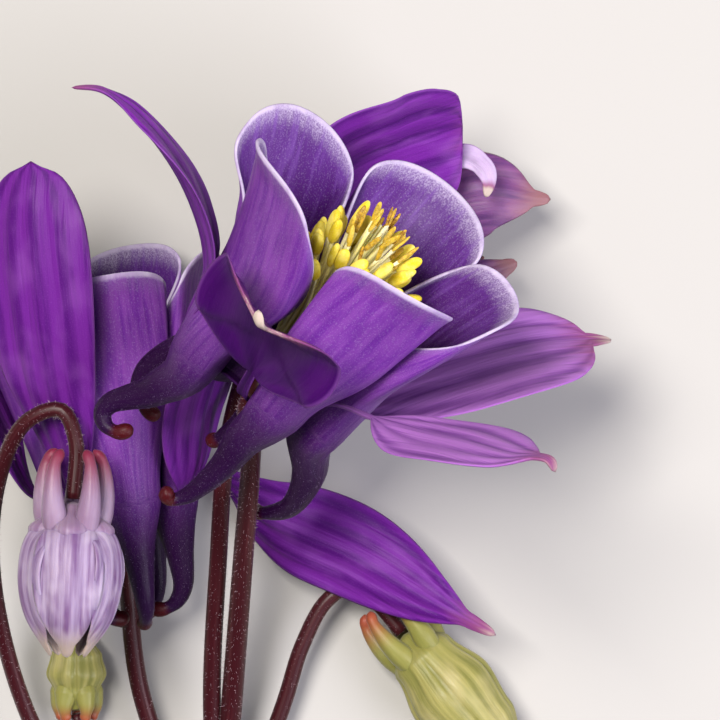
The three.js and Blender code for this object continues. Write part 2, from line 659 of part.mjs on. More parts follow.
[
  { name: 'leaf_left', at: [-0.5, -12], heading: 186, stalk: 13, size: 20, arch: 2.2 },
  { name: 'leaf_right', at: [1.3, 2.6], heading: -4, stalk: 11, size: 18, arch: 2 },
].forEach(({ name, at, heading, ...shape }) => {
  const mesh = piece(name, leaf(shape), LEAF_GREEN);
  mesh.position.set(at[0], at[1], 0);
  mesh.rotation.z = degToRad(heading);
});

// ---------------------------------------------------------------- resting flats

// Whatever would dip under the surface is flattened where it rests.
columbine.updateMatrixWorld(true);
const ground = new THREE.BoxGeometry(400, 400, 40).translate(0, 40, -20);
columbine.traverse((mesh) => {
  if (!mesh.isMesh) return;
  const box = new THREE.Box3().setFromObject(mesh, true);
  if (box.min.z >= 0) return;
  const below = toManifold(ground.clone().applyMatrix4(mesh.matrixWorld.clone().invert()));
  mesh.geometry = fromManifold(toManifold(mesh.geometry).subtract(below));
});

export default columbine;
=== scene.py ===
# %% [markdown]
# # A columbine stem, laid on a table
#
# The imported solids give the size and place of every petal, bud and leaf. They are thick and faceted,
# so that they can be made and tested. This file grows the fine plant in their place: thin petals with
# pale margins, ridged sepals, a brush of yellow stamens, hairy stems. Each shape starts from the same
# rule and the same sizes as the solid that it replaces, with many more points.

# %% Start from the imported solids
import math

import bmesh
import bpy
import numpy as np
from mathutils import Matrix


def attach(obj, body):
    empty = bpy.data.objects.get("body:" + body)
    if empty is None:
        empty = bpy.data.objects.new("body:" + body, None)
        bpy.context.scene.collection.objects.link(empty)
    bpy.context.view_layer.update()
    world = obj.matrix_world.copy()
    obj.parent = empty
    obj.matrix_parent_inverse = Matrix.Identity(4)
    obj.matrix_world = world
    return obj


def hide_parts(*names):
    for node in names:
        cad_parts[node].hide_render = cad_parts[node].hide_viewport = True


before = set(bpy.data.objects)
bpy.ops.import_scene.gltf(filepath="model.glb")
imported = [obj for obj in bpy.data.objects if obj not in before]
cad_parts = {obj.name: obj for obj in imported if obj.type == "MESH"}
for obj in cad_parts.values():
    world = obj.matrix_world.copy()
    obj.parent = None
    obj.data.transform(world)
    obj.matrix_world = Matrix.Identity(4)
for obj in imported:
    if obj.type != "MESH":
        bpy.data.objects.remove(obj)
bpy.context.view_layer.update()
MM = 0.001

# %% [markdown]
# ## Camera, table and light
#
# The camera looks straight down on the stem from 400 mm above the main bloom, with a long lens, so that
# near and far blooms keep nearly the same scale. A soft box hangs to the upper left of the camera, and a
# weaker one to the right opens the shadows. The table is a plain pale sheet.

# %% Colour and node helpers
def linear(hex_colour, alpha=1.0):
    """An sRGB hex colour as the linear values that Blender's sockets take."""
    channels = [int(hex_colour[i:i + 2], 16) / 255 for i in (1, 3, 5)]
    return [c / 12.92 if c <= 0.04045 else ((c + 0.055) / 1.055) ** 2.4 for c in channels] + [alpha]


def add(tree, kind, inputs=None, **settings):
    """Adds a node. Each input is a value or the output socket that feeds it."""
    node = tree.nodes.new(kind)
    for name, value in settings.items():
        setattr(node, name, value)
    for name, value in (inputs or {}).items():
        if isinstance(name, int):
            socket = node.inputs[name]
        else:
            socket = next(s for s in node.inputs if s.name == name and s.enabled)
        if isinstance(value, bpy.types.NodeSocket):
            tree.links.new(value, socket)
        else:
            socket.default_value = value
    return node


def out(node, name=None):
    """A node's enabled output of that name, or its first one."""
    return next(s for s in node.outputs if s.enabled and (name is None or s.name == name))


def put_in_scene(name, data):
    made = bpy.data.objects.new(name, data)
    bpy.context.scene.collection.objects.link(made)
    return made


print("violet", "#5b3aa6", "in linear light:", [round(v, 3) for v in linear("#5b3aa6")])

# %% Camera
CAMERA_AT = (12.15 * MM, 63.0 * MM, 430 * MM)
FRAME_WIDTH = 64.8 * MM       # how much the view takes in at the main bloom's height
BLOOM_HEIGHT = 30 * MM
SENSOR_WIDTH = 36

camera_data = bpy.data.cameras.new("camera")
camera_data.sensor_width = SENSOR_WIDTH
camera_data.lens = SENSOR_WIDTH * (CAMERA_AT[2] - BLOOM_HEIGHT) / FRAME_WIDTH
camera_data.clip_start = 0.01
camera = put_in_scene("camera", camera_data)
camera.location = CAMERA_AT
bpy.context.scene.camera = camera
print("lens", round(camera_data.lens, 1), "mm")

# %% Lights
LIT_PLACE = np.array([0.005, 0.06, 0.02])


def soft_box(name, at, size, power, colour):
    """A square area light that faces the bloom."""
    light = bpy.data.lights.new(name, "AREA")
    light.shape, light.size, light.energy, light.color = "SQUARE", size, power, linear(colour)[:3]
    lamp = put_in_scene(name, light)
    lamp.location = at
    way = lamp.location.copy()
    way[:] = LIT_PLACE - np.array(at)
    lamp.rotation_mode = "QUATERNION"
    lamp.rotation_quaternion = way.to_track_quat("-Z", "Y")


soft_box("key_light", at=(-0.13, 0.19, 0.56), size=0.2, power=5.4, colour="#fffaf3")
soft_box("fill_light", at=(0.36, -0.05, 0.34), size=0.35, power=2.8, colour="#f4f2ff")
world = bpy.data.worlds.new("studio")
bpy.context.scene.world = world
world.use_nodes = True
background = world.node_tree.nodes["Background"]
background.inputs["Color"].default_value = linear("#e6e8f0")
background.inputs["Strength"].default_value = 0.26
bpy.context.scene.view_settings.view_transform = "Standard"
bpy.context.scene.view_settings.look = "None"

# %% Table
TABLE_HALF, TABLE_TOP = 0.9, -0.05 * MM

table_mesh = bpy.data.meshes.new("table_top")
table_mesh.from_pydata([(x * TABLE_HALF, y * TABLE_HALF, TABLE_TOP) for x, y in ((-1, -1), (1, -1), (1, 1), (-1, 1))],
                       [], [(0, 1, 2, 3)])
table = put_in_scene("table_top", table_mesh)

paper = bpy.data.materials.new("pale_matt_paper")
paper.use_nodes = True
paper_shader = paper.node_tree.nodes["Principled BSDF"]
paper_shader.inputs["Base Color"].default_value = linear("#aaa8a5")
paper_shader.inputs["Roughness"].default_value = 0.9
table_mesh.materials.append(paper)
print("table", 2 * TABLE_HALF, "m wide, its top at", TABLE_TOP / MM, "mm")

# %% [markdown]
# ## Lines, profiles and skins
#
# Every piece here is a skin: a grid of points with one row after another along the piece, and each row
# a closed loop round it. Both faces of a thin sheet are one loop too: out along the upper face and back
# along the lower one. The first and last rows shrink to a point or a line, so each skin is closed. The
# grid also carries named values, such as how far a point is from the rim, and the materials read them.

# %% Numbers and points
def lerp(a, b, t):
    return a + (b - a) * t


def smooth(x, low, high):
    t = np.clip((x - low) / (high - low), 0, 1)
    return t * t * (3 - 2 * t)


def unit(v):
    return v / np.maximum(np.linalg.norm(v, axis=-1, keepdims=True), 1e-12)


def xyz(*parts):
    """Three numbers or grids together as points."""
    return np.stack(np.broadcast_arrays(*parts), axis=-1)


def turned(x, y, degrees):
    c, s = math.cos(math.radians(degrees)), math.sin(math.radians(degrees))
    return x * c - y * s, x * s + y * c


def round_turn(sides):
    return np.linspace(0, 2 * math.pi, sides, endpoint=False)


print("a tenth of the way, eased:", round(float(smooth(0.1, 0, 1)), 3))

# %% Smooth lines and profiles
def straight(pairs):
    """Straight lines between (place, value) pairs."""
    xs, ys = zip(*pairs)
    return lambda x: np.interp(x, xs, ys)


def curved(pairs):
    """A smooth curve through the pairs."""
    xs, ys, _ = Line([(x, y, 0) for x, y in pairs]).points.T
    return lambda x: np.interp(x, xs, ys)


def eased(pairs):
    """A curve that is level at every pair."""
    xs, ys = (np.array(v, float) for v in zip(*pairs))

    def value(x):
        x = np.asarray(x, float)
        k = np.clip(np.searchsorted(xs, x), 1, len(xs) - 1)
        return lerp(ys[k - 1], ys[k], smooth(x, xs[k - 1], xs[k]))
    return value


class Line:
    """A smooth line through points, measured by the share of its length."""

    def __init__(self, points, steps=60):
        p = np.array([tuple(q) for q in points], float)
        p = np.vstack([2 * p[0] - p[1], p, 2 * p[-1] - p[-2]])
        parts = []
        t = np.linspace(0, 1, steps, endpoint=False)[:, None]
        for a, b, c, d in zip(p, p[1:], p[2:], p[3:]):
            ab, bc, cd = (np.linalg.norm(v) ** 0.5 for v in (b - a, c - b, d - c))
            start = ((b - a) / ab - (c - a) / (ab + bc) + (c - b) / bc) * bc
            end = ((c - b) / bc - (d - b) / (bc + cd) + (d - c) / cd) * bc
            parts.append(b + start * t + (3 * (c - b) - 2 * start - end) * t ** 2
                         + (2 * (b - c) + start + end) * t ** 3)
        self.points = np.vstack([*parts, p[-2][None]])
        self.miles = np.concatenate([[0], np.cumsum(np.linalg.norm(np.diff(self.points, axis=0), axis=1))])
        self.length = self.miles[-1]

    def at(self, u):
        s = np.clip(u, 0, 1) * self.length
        return xyz(*(np.interp(s, self.miles, self.points[:, k]) for k in range(3)))

    def tangent(self, u, step=4e-3):
        return unit(self.at(np.minimum(u + step, 1)) - self.at(np.maximum(u - step, 0)))


def carried_along(side, ways):
    """A sideways direction, carried from one step of a line to the next without twisting."""
    sides = []
    for way in ways:
        side = unit(side - way * np.dot(side, way))
        sides.append(side)
    return np.array(sides)


print("a quarter turn of radius 10:", round(Line([(10, 0, 0), (7.07, 7.07, 0), (0, 10, 0)]).length, 2), "mm")

# %% Pieces from points
def mesh_object(name, points, edges=(), faces=(), **values):
    """An object from points in millimetres, each with its named numbers or vectors."""
    mesh = bpy.data.meshes.new(name)
    mesh.from_pydata(np.array(points) * MM, edges, faces)
    for label, value in values.items():
        value = np.array(value, np.float32)
        kind, field = ("FLOAT_VECTOR", "vector") if value.ndim == 2 else ("FLOAT", "value")
        mesh.attributes.new(label, kind, "POINT").data.foreach_set(field, value.ravel())
    mesh.polygons.foreach_set("use_smooth", [True] * len(mesh.polygons))
    return put_in_scene(name, mesh)


def plant_piece(piece, slot, *replaced):
    """Puts a finished piece on the plant, in place of the solids that it stands for."""
    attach(piece, "root")
    if replaced:
        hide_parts(*replaced)
    print(piece.name, len(piece.data.polygons), "faces")
    return piece


print("pieces are in millimetres until they are made, then times", MM)

# %% Skins
WELD_DISTANCE = 1e-7


class Skin:
    """Gathers closed grids of points in millimetres, with their named values, into one piece."""

    def __init__(self, name):
        self.name, self.points, self.faces, self.values, self.count = name, [], [], {}, 0

    def grid(self, points, **values):
        """Adds a grid, its faces outward. `flow` is a vector, and the other values are numbers."""
        rows, sides = points.shape[:2]
        index = np.arange(rows * sides).reshape(rows, sides)
        after = np.roll(index, -1, axis=1)
        quads = np.stack([index[:-1], after[:-1], after[1:], index[1:]], axis=-1).reshape(-1, 4)
        flat = points.reshape(-1, 3)
        a, b, c, d = ((flat - flat.mean(0))[quads[:, k]] for k in range(4))
        if np.einsum("ij,ij->i", a, np.cross(b, c) + np.cross(c, d)).sum() < 0:
            quads = quads[:, ::-1]
        self.points.append(flat)
        self.faces.append(quads + self.count)
        for name, value in values.items():
            size = (rows, sides, 3) if name == "flow" else (rows, sides)
            self.values.setdefault(name, []).append(np.broadcast_to(value, size).reshape(-1, *size[2:]))
        self.count += rows * sides
        return self

    def mesh(self):
        return mesh_object(self.name, np.concatenate(self.points), faces=np.concatenate(self.faces).tolist(),
                           **{name: np.concatenate(parts) for name, parts in self.values.items()})

    def piece(self, material, slot, *replaced):
        """Makes the piece, kept above the table and welded where its rows meet in a point."""
        for points in self.points:
            points[:, 2] = np.maximum(points[:, 2], 0)
        piece = self.mesh()
        welded = bmesh.new()
        welded.from_mesh(piece.data)
        bmesh.ops.remove_doubles(welded, verts=welded.verts, dist=WELD_DISTANCE)
        welded.to_mesh(piece.data)
        welded.free()
        piece.data.materials.append(material)
        return plant_piece(piece, slot, *replaced)


print("points closer than", round(WELD_DISTANCE / MM, 6), "mm are welded")

# %% Where each bloom stands
class Stand:
    """A bloom's own frame: +Z along its axis and +X as near to straight up as that allows."""

    def __init__(self, origin, plan, elevation):
        p, e = math.radians(plan), math.radians(elevation)
        axis = np.array([math.cos(e) * math.cos(p), math.cos(e) * math.sin(p), math.sin(e)])
        top = unit(np.array([0, 0, 1]) - axis * axis[2])
        self.origin = np.array(origin, float)
        self.ways = np.stack([top, np.cross(axis, top), axis])

    def place(self, points, at=0):
        """Turns points by `at` degrees round the axis and brings them to the plant's frame."""
        x, y, z = np.moveaxis(np.asarray(points, float), -1, 0)
        return xyz(*turned(x, y, at), z) @ self.ways + self.origin

    def behind(self, distance):
        return self.place((0, 0, -distance))


main_bloom = Stand((3.33, 60.48, 30), 52, 25)
left_bloom = Stand((-10.5, 50.8, 8.9), 98, 8)
back_bloom = Stand((14.5, 72.3, 5), 11, 0)
young_bloom = Stand((-14.2, 48.8, 22.5), -92, 0)
nodding_bud = Stand((17.1, 35.8, 4.4), -50, 0)
small_bud = Stand((-15.1, 30.5, 2.9), 90, 0)
print("main bloom faces", np.round(main_bloom.ways[2], 2))

# %% Sheets and tubes
def sheet(at, rows, columns, thickness):
    """Both faces of a thin sheet as one closed grid. at(u, v) gives its middle, v running across it.

    Returns the grid, with u, v and the face at each point, 1 for the upper face and 0 for the lower one.
    """
    u, v = np.meshgrid(np.linspace(0, 1, rows), np.linspace(0, 1, columns), indexing="ij")
    step = 1e-3
    along = at(np.minimum(u + step, 1), v) - at(np.maximum(u - step, 0), v)
    across = at(u, np.minimum(v + step, 1)) - at(u, np.maximum(v - step, 0))
    half = thickness / 2 * np.sqrt(1 - (2 * v - 1) ** 8) * np.sqrt(1 - (2 * u - 1) ** 30)
    middle, lift = at(u, v), unit(np.cross(along, across)) * half[..., None]

    def out_and_back(upper, lower):
        return np.concatenate([upper, lower[:, -2:0:-1]], axis=1)
    return (out_and_back(middle + lift, middle - lift), out_and_back(u, u), out_and_back(v, v),
            out_and_back(np.ones_like(u), np.zeros_like(u)))


def tube(line, radius, rows, sides):
    """A tube along a line, closed at both ends. Returns its grid, the turn and the length at each point."""
    u = np.linspace(0, 1, rows)
    centre, ways = line.at(u), line.tangent(u)
    side = carried_along(np.cross(ways[0], [0.0, 0.0, 1.0]), ways)
    turn = round_turn(sides)
    ring = side[:, None] * np.cos(turn)[:, None] + np.cross(ways, side)[:, None] * np.sin(turn)[:, None]
    grid = centre[:, None] + ring * radius(u)[:, None, None]
    caps = [np.repeat(centre[:1, None], sides, 1), grid, np.repeat(centre[-1:, None], sides, 1)]
    turn, u = np.broadcast_arrays(turn, np.concatenate([[0], u, [1]])[:, None])
    return np.concatenate(caps), turn, u * line.length


rod = tube(Line([(0, 0, 0), (10, 0, 0)]), straight([(0, 1), (1, 1)]), rows=5, sides=8)[0]
print("a rod in 5 rings of 8 points, with its two ends, is a grid of", rod.shape[:2])

# %% [markdown]
# ## Petal and sepal tissue
# The lighter rims and the glints are partly painted into the colour here, as a painted sheen and painted glints, and
# the inside of the funnel is painted darker towards the throat, as painted shade. Each sepal also gets its own painted
# light and shade, pale or dark.
#
# A columbine's petal is a thin skin of clear cells over a violet sap. Light goes a little way in and
# spreads, so the edges look lighter than the middle, and each cell's domed top gives a tiny glint. Its
# margin holds little pigment and is nearly white. The spur is darker, and its knob holds nectar behind a
# dark red skin. A sepal is firmer and redder, with ridges along it and a pale, bleached tip.
#
# The materials read values that the skins carry: `flow` is a place on the petal in millimetres, with the
# length as its third number, so that a pattern can be drawn out along the veins. A pattern's size is how
# many of its cells go in a millimetre each way. The colour is laid on in coats, as a painter would: each
# coat has a cover, from 0 to 1, that follows a pattern or a carried value.

# %% Shared parts of the plant materials
LIGHT_SPREAD_MM = (0.6, 0.3, 0.8)       # of red, green and blue light inside a petal


class Tissue:
    """A material for thin living tissue. `carried` are the values of a skin that its look follows."""

    def __init__(self, name, roughness, carried=(), scatter=0.12, spread_mm=LIGHT_SPREAD_MM, sheen=0.0,
                 specular=0.4):
        self.material = bpy.data.materials.new(name)
        self.material.use_nodes = True
        self.tree = self.material.node_tree
        self.shader = self.tree.nodes["Principled BSDF"]
        for socket, value in {
                "Roughness": roughness, "IOR": 1.42, "Specular IOR Level": specular, "Subsurface Weight": scatter,
                "Subsurface Radius": spread_mm, "Subsurface Scale": MM, "Sheen Weight": sheen,
                "Sheen Roughness": 0.4}.items():
            self.shader.inputs[socket].default_value = value
        self.carried = [out(add(self.tree, "ShaderNodeAttribute", attribute_name=label),
                            "Vector" if label == "flow" else "Fac") for label in carried]

    def pattern(self, detail, per_mm, flow=None, offset=(0, 0, 0)):
        """A soft pattern from 0 to 1 along the skin's flow, or through the piece if no flow is given."""
        if flow is None:
            flow, per_mm = out(add(self.tree, "ShaderNodeTexCoord"), "Object"), [per_mm / MM] * 3
        place = add(self.tree, "ShaderNodeMapping", {"Vector": flow, "Scale": per_mm, "Location": offset})
        return out(add(self.tree, "ShaderNodeTexNoise", {"Vector": out(place), "Scale": 1.0, "Detail": detail}))

    def drifting(self, value, pattern, size):
        """A value that a pattern moves up and down, so that what it edges isn't a clean line."""
        level = add(self.tree, "ShaderNodeMath", {0: pattern, 1: 0.5}, operation="SUBTRACT")
        drift = add(self.tree, "ShaderNodeMath", {0: out(level), 1: size}, operation="MULTIPLY")
        return out(add(self.tree, "ShaderNodeMath", {0: value, 1: out(drift)}, operation="ADD"))

    def coated(self, colour, *coats):
        """Lays coats over a colour. Each is (colour, cover, ...), and its covers multiply one another.

        A colour is a hex value or a socket. A cover is a socket, or (value, low, high, first, last), which
        goes from first to last, or from 0 to 1, as the value goes from low to high.
        """
        for coat, *covers in coats:
            cover = None
            for part in covers:
                if isinstance(part, tuple):
                    value, low, high, first, last = (*part, 0.0, 1.0)[:5]
                    part = out(add(self.tree, "ShaderNodeMapRange", {
                        "Value": value, "From Min": low, "From Max": high, "To Min": first, "To Max": last},
                        interpolation_type="SMOOTHSTEP", clamp=True))
                if cover is not None:
                    part = out(add(self.tree, "ShaderNodeMath", {0: cover, 1: part}, operation="MULTIPLY"))
                cover = part
            under, over = (linear(c) if isinstance(c, str) else c for c in (colour, coat))
            colour = out(add(self.tree, "ShaderNodeMix", {"Factor": cover, "A": under, "B": over},
                             data_type="RGBA"))
        return colour

    def done(self, colour, *reliefs):
        """Gives the shader its colour and its (height, depth in mm, strength) reliefs, one over another."""
        self.tree.links.new(colour, self.shader.inputs["Base Color"])
        under = {}
        for height, depth, strength in reliefs:
            normal = out(add(self.tree, "ShaderNodeBump", {
                "Height": height, "Distance": depth * MM, "Strength": strength, **under}))
            under = {"Normal": normal}
            self.tree.links.new(normal, self.shader.inputs["Normal"])
        print(self.material.name, len(self.tree.nodes), "nodes")
        return self.material


print("red, green and blue light spread", LIGHT_SPREAD_MM, "mm in a petal")

# %% Petal material
CELLS_PER_MM = (9, 9, 7)      # real cells are 0.03 mm wide, too fine to show, so these are 0.11 mm


def petal_material(name, inner_blade, inner_vein, inner_deep_and_shade, outer_blade, outer_vein, spur, knob, margin_sheen_and_glint):
    """Violet petal tissue: a pale rim, veins drawn out along the petal, cells in relief. Painted shade darkens the
    inside towards the throat and, partly, the outer blade near the spur; a painted sheen pales the inner face near the
    rim, and painted glints fleck the cells.
    """
    t = Tissue(name, 0.45, ("flow", "rim", "inner", "length"), specular=0.2)
    flow, from_rim, inner, length = t.carried
    # Veins stand 0.6 mm apart and are drawn out to 6 mm. The patches that they cross are 2 to 5 mm.
    veins = t.pattern(4, (1.7, 1.7, 0.16), flow)
    patches = t.pattern(3, (0.45, 0.45, 0.22), flow, (7, 3, 1))
    cells = t.pattern(1, CELLS_PER_MM, flow)
    inside = t.coated(
        # Painted shade: the inner face is darkest deep in the funnel and takes the blade's colour up the blade; the
        # patches of the deep colour are its own.
        inner_deep_and_shade,
        (inner_blade, (length, 16, 35)),
        (inner_deep_and_shade, (patches, 0.3, 0.7, 0.35, 0)),
        (inner_vein, (veins, 0.45, 0.75, 0, 0.5)))
    outside = t.coated(
        outer_vein,
        (outer_blade, (veins, 0.32, 0.62)),
        (inner_blade, (patches, 0.35, 0.7, 0, 0.3)),
        # Darker towards the spur: the spur's own colour, and partly painted shade where it reaches up the lower outer
        # blade.
        (spur, (length, 8, 23, 1, 0)),
        (knob, (length, 1.3, 2.2, 1, 0)))
    colour = t.coated(
        outside,
        (inside, inner),
        # Partly the pale margin and partly painted sheen: the inner face is painted paler up to 2.4 mm from the rim,
        # flecked by the cells.
        (margin_sheen_and_glint, (t.drifting(from_rim, veins, 2.2), 0.2, 2.4, 0.42, 0), (inner, 0, 1, 0.3, 1),
         (cells, 0.3, 0.7, 0.5, 1.5)),
        (margin_sheen_and_glint, (t.drifting(from_rim, veins, 0.264), 0.16, 0.6, 1, 0), (patches, 0.3, 0.6, 0.4, 0.95)),
        # Painted glints: the cells fleck the petal with the pale colour, less on the spur.
        (margin_sheen_and_glint, (cells, 0.5, 0.8, 0, 0.16), (length, 8, 18, 0.25, 1)))
    return t.done(colour, (veins, 0.16, 0.6), (cells, 0.035, 0.5))


# The deep inner colour is also painted shade, and the pale margin colour also paints sheen and glints.
petal_tissue = petal_material(
    "columbine_petal_violet", inner_blade="#4a1d6c", inner_vein="#6a4193", inner_deep_and_shade="#35044e",
    outer_blade="#743a92", outer_vein="#5f2285", spur="#1d0029", knob="#3c060d", margin_sheen_and_glint="#b1a5bf")

# %% Sepal material
def sepal_material(name, blade, furrow, light, dark, bleached_and_lit, frost, outside, flush, tip, foot):
    """Firmer, redder tissue with ridges and a pale tip. A value carried by each sepal paints light and shade: 0 is
    painted shade, 1 is pale, partly real bleaching and partly painted light, 1.5 is frosty. The lower face gets painted
    shade and the cells painted glints.
    """
    t = Tissue(name, 0.45, ("flow", "along", "across", "ridge", "tone", "upper"), specular=0.12)
    flow, along, across, ridge, tone, upper = t.carried
    # Streaks are 0.45 mm wide and 8 mm long, between the ridges that the skin itself has.
    streaks = t.pattern(4, (2.2, 2.2, 0.12), flow)
    patches = t.pattern(2, (0.35, 0.35, 0.2), flow, (2, 5, 9))
    cells = t.pattern(1, CELLS_PER_MM, flow)
    raised = out(add(t.tree, "ShaderNodeMix", {"Factor": 0.65, "A": ridge, "B": streaks}, data_type="FLOAT"))
    from_middle = out(add(t.tree, "ShaderNodeMath", {0: across}, operation="ABSOLUTE"))
    towards_tip = t.drifting(along, streaks, 0.12)
    colour = t.coated(
        furrow,
        (blade, (raised, 0.3, 0.62)),
        (light, (patches, 0.45, 0.75, 0, 0.4)),
        # Painted shade: the lower face is painted darker.
        (outside, (upper, 0, 1, 0.3, 0)),
        # Partly real bleaching and partly painted light: sepals set pale are painted paler, most on their ridges.
        (bleached_and_lit, (tone, 0.5, 1, 0, 0.8), (raised, 0.25, 0.6, 0.4, 1)),
        (frost, (tone, 1, 1.5, 0, 0.8)),
        # Painted shade: sepals set dark are painted dark.
        (dark, (tone, 0, 0.5, 0.92, 0)),
        (light, (from_middle, 0.94, 1, 0, 0.45)),
        (flush, (towards_tip, 0.78, 0.92)),
        (tip, (towards_tip, 0.88, 0.96)),
        (foot, (along, 0.08, 0.36, 1, 0)),
        # Painted glints: the cells fleck the sepal with its light colour, less on the sepals painted dark.
        (light, (cells, 0.5, 0.8, 0, 0.16), (tone, 0, 0.4, 0.1, 1)))
    return t.done(colour, (streaks, 0.2, 0.7), (cells, 0.03, 0.4))


# The dark colour is painted shade, the outside colour paints shade on the lower face, and the light colour also paints
# glints.
sepal_tissue = sepal_material(
    "columbine_sepal_purple", blade="#661c86", furrow="#470a66", light="#8a4ea4", dark="#2c0046",
    bleached_and_lit="#a06cb0", frost="#b3a6bd", outside="#430a60", flush="#7c3f66", tip="#ab9c92", foot="#3a1450")

# %% [markdown]
# ## Petals of the main bloom
#
# One petal is a funnel. Its back rises into a broad blade, its inner side stops at a low lip, and below
# the throat it runs on as a hollow spur that hooks over to a knob. Here that is a line along the back,
# with a ring at each step: half-width and half-depth come from two profiles, and each ring is kept inside
# the petal's own fifth of the bloom. A sculpt would be freer, but five petals from one rule stay alike,
# with their own hook, twist and flare.

# %% Petal sizes and profiles
THROAT_R, SPUR_LENGTH, SPUR_THROAT_RADIUS = 7.6, 14.5, 2.9
THROAT_MIDDLE = (THROAT_R - SPUR_THROAT_RADIUS, 0, 0)
BLADE_LENGTH, BLADE_HALF_WIDTH, BLADE_HALF_DEPTH = 22.0, 6.2, 3.0
BLADE_STEPS, HOOK_STEPS, RING_STEPS = 120, 60, 160
SECTOR = math.pi / 5
PETAL_WALL = 0.26             # thin enough to look like tissue from the side
HOLLOW_FROM = 5.0
FUNNEL_FROM = 9.0             # where the round spur starts to follow the blade's own section
PATTERN_SHIFT = 37            # mm for each degree round the bloom, so that no two petals look the same

# Radius at each distance from the spur's tip: a round knob of nectar, a neck, then the widening tube.
spur_radius = curved([(0, 0.04), (0.1, 0.38), (0.35, 0.62), (0.8, 0.74), (1.25, 0.7), (1.8, 0.6), (3, 0.78),
                      (4.5, 0.95), (6, 1.12), (8, 1.4), (10, 1.82), (12, 2.42), (13.4, 2.8),
                      (SPUR_LENGTH, SPUR_THROAT_RADIUS)])
blade_depth = eased([(0, SPUR_THROAT_RADIUS), (0.3, BLADE_HALF_DEPTH), (1, 2.2)])
blade_width = eased([(0, SPUR_THROAT_RADIUS + 0.2), (0.55, BLADE_HALF_WIDTH), (1, 5.9)])
print("petal from rim to knob:", BLADE_LENGTH + SPUR_LENGTH, "mm, blade", 2 * BLADE_HALF_WIDTH, "mm wide")

# %% Room between the petals, and the plain hook of a spur
def inside_sector(x, y, z):
    """Eases a point back into its own fifth, clear of the slit between two petals."""
    slit = 0.25 + 0.85 * np.exp(-((z + 0.2) / 3.5) ** 2) + 0.25 * smooth(z, 2, 8)
    limit = np.maximum(0.25, x * math.tan(SECTOR) - slit)
    share = np.abs(y) / limit
    soft = 0.75
    eased_share = soft + (1 - soft) * np.tanh((share - soft) / (1 - soft))
    return np.where(share > soft, np.sign(y) * eased_share * limit, y)


def hooked_spur(hook):
    """The middle of a spur that runs back from the throat and hooks over towards the bloom's axis."""
    turn = np.radians(hook) * np.maximum(0, 1 - np.linspace(SPUR_LENGTH, 0, HOOK_STEPS) / 6) ** 1.5
    step = SPUR_LENGTH / HOOK_STEPS
    return xyz(THROAT_MIDDLE[0] - np.cumsum(np.sin(turn)) * step, 0, -np.cumsum(np.cos(turn)) * step)[4::5]


print("a spur that hooks by 90 degrees ends at", np.round(hooked_spur(90)[-1], 1), "mm")

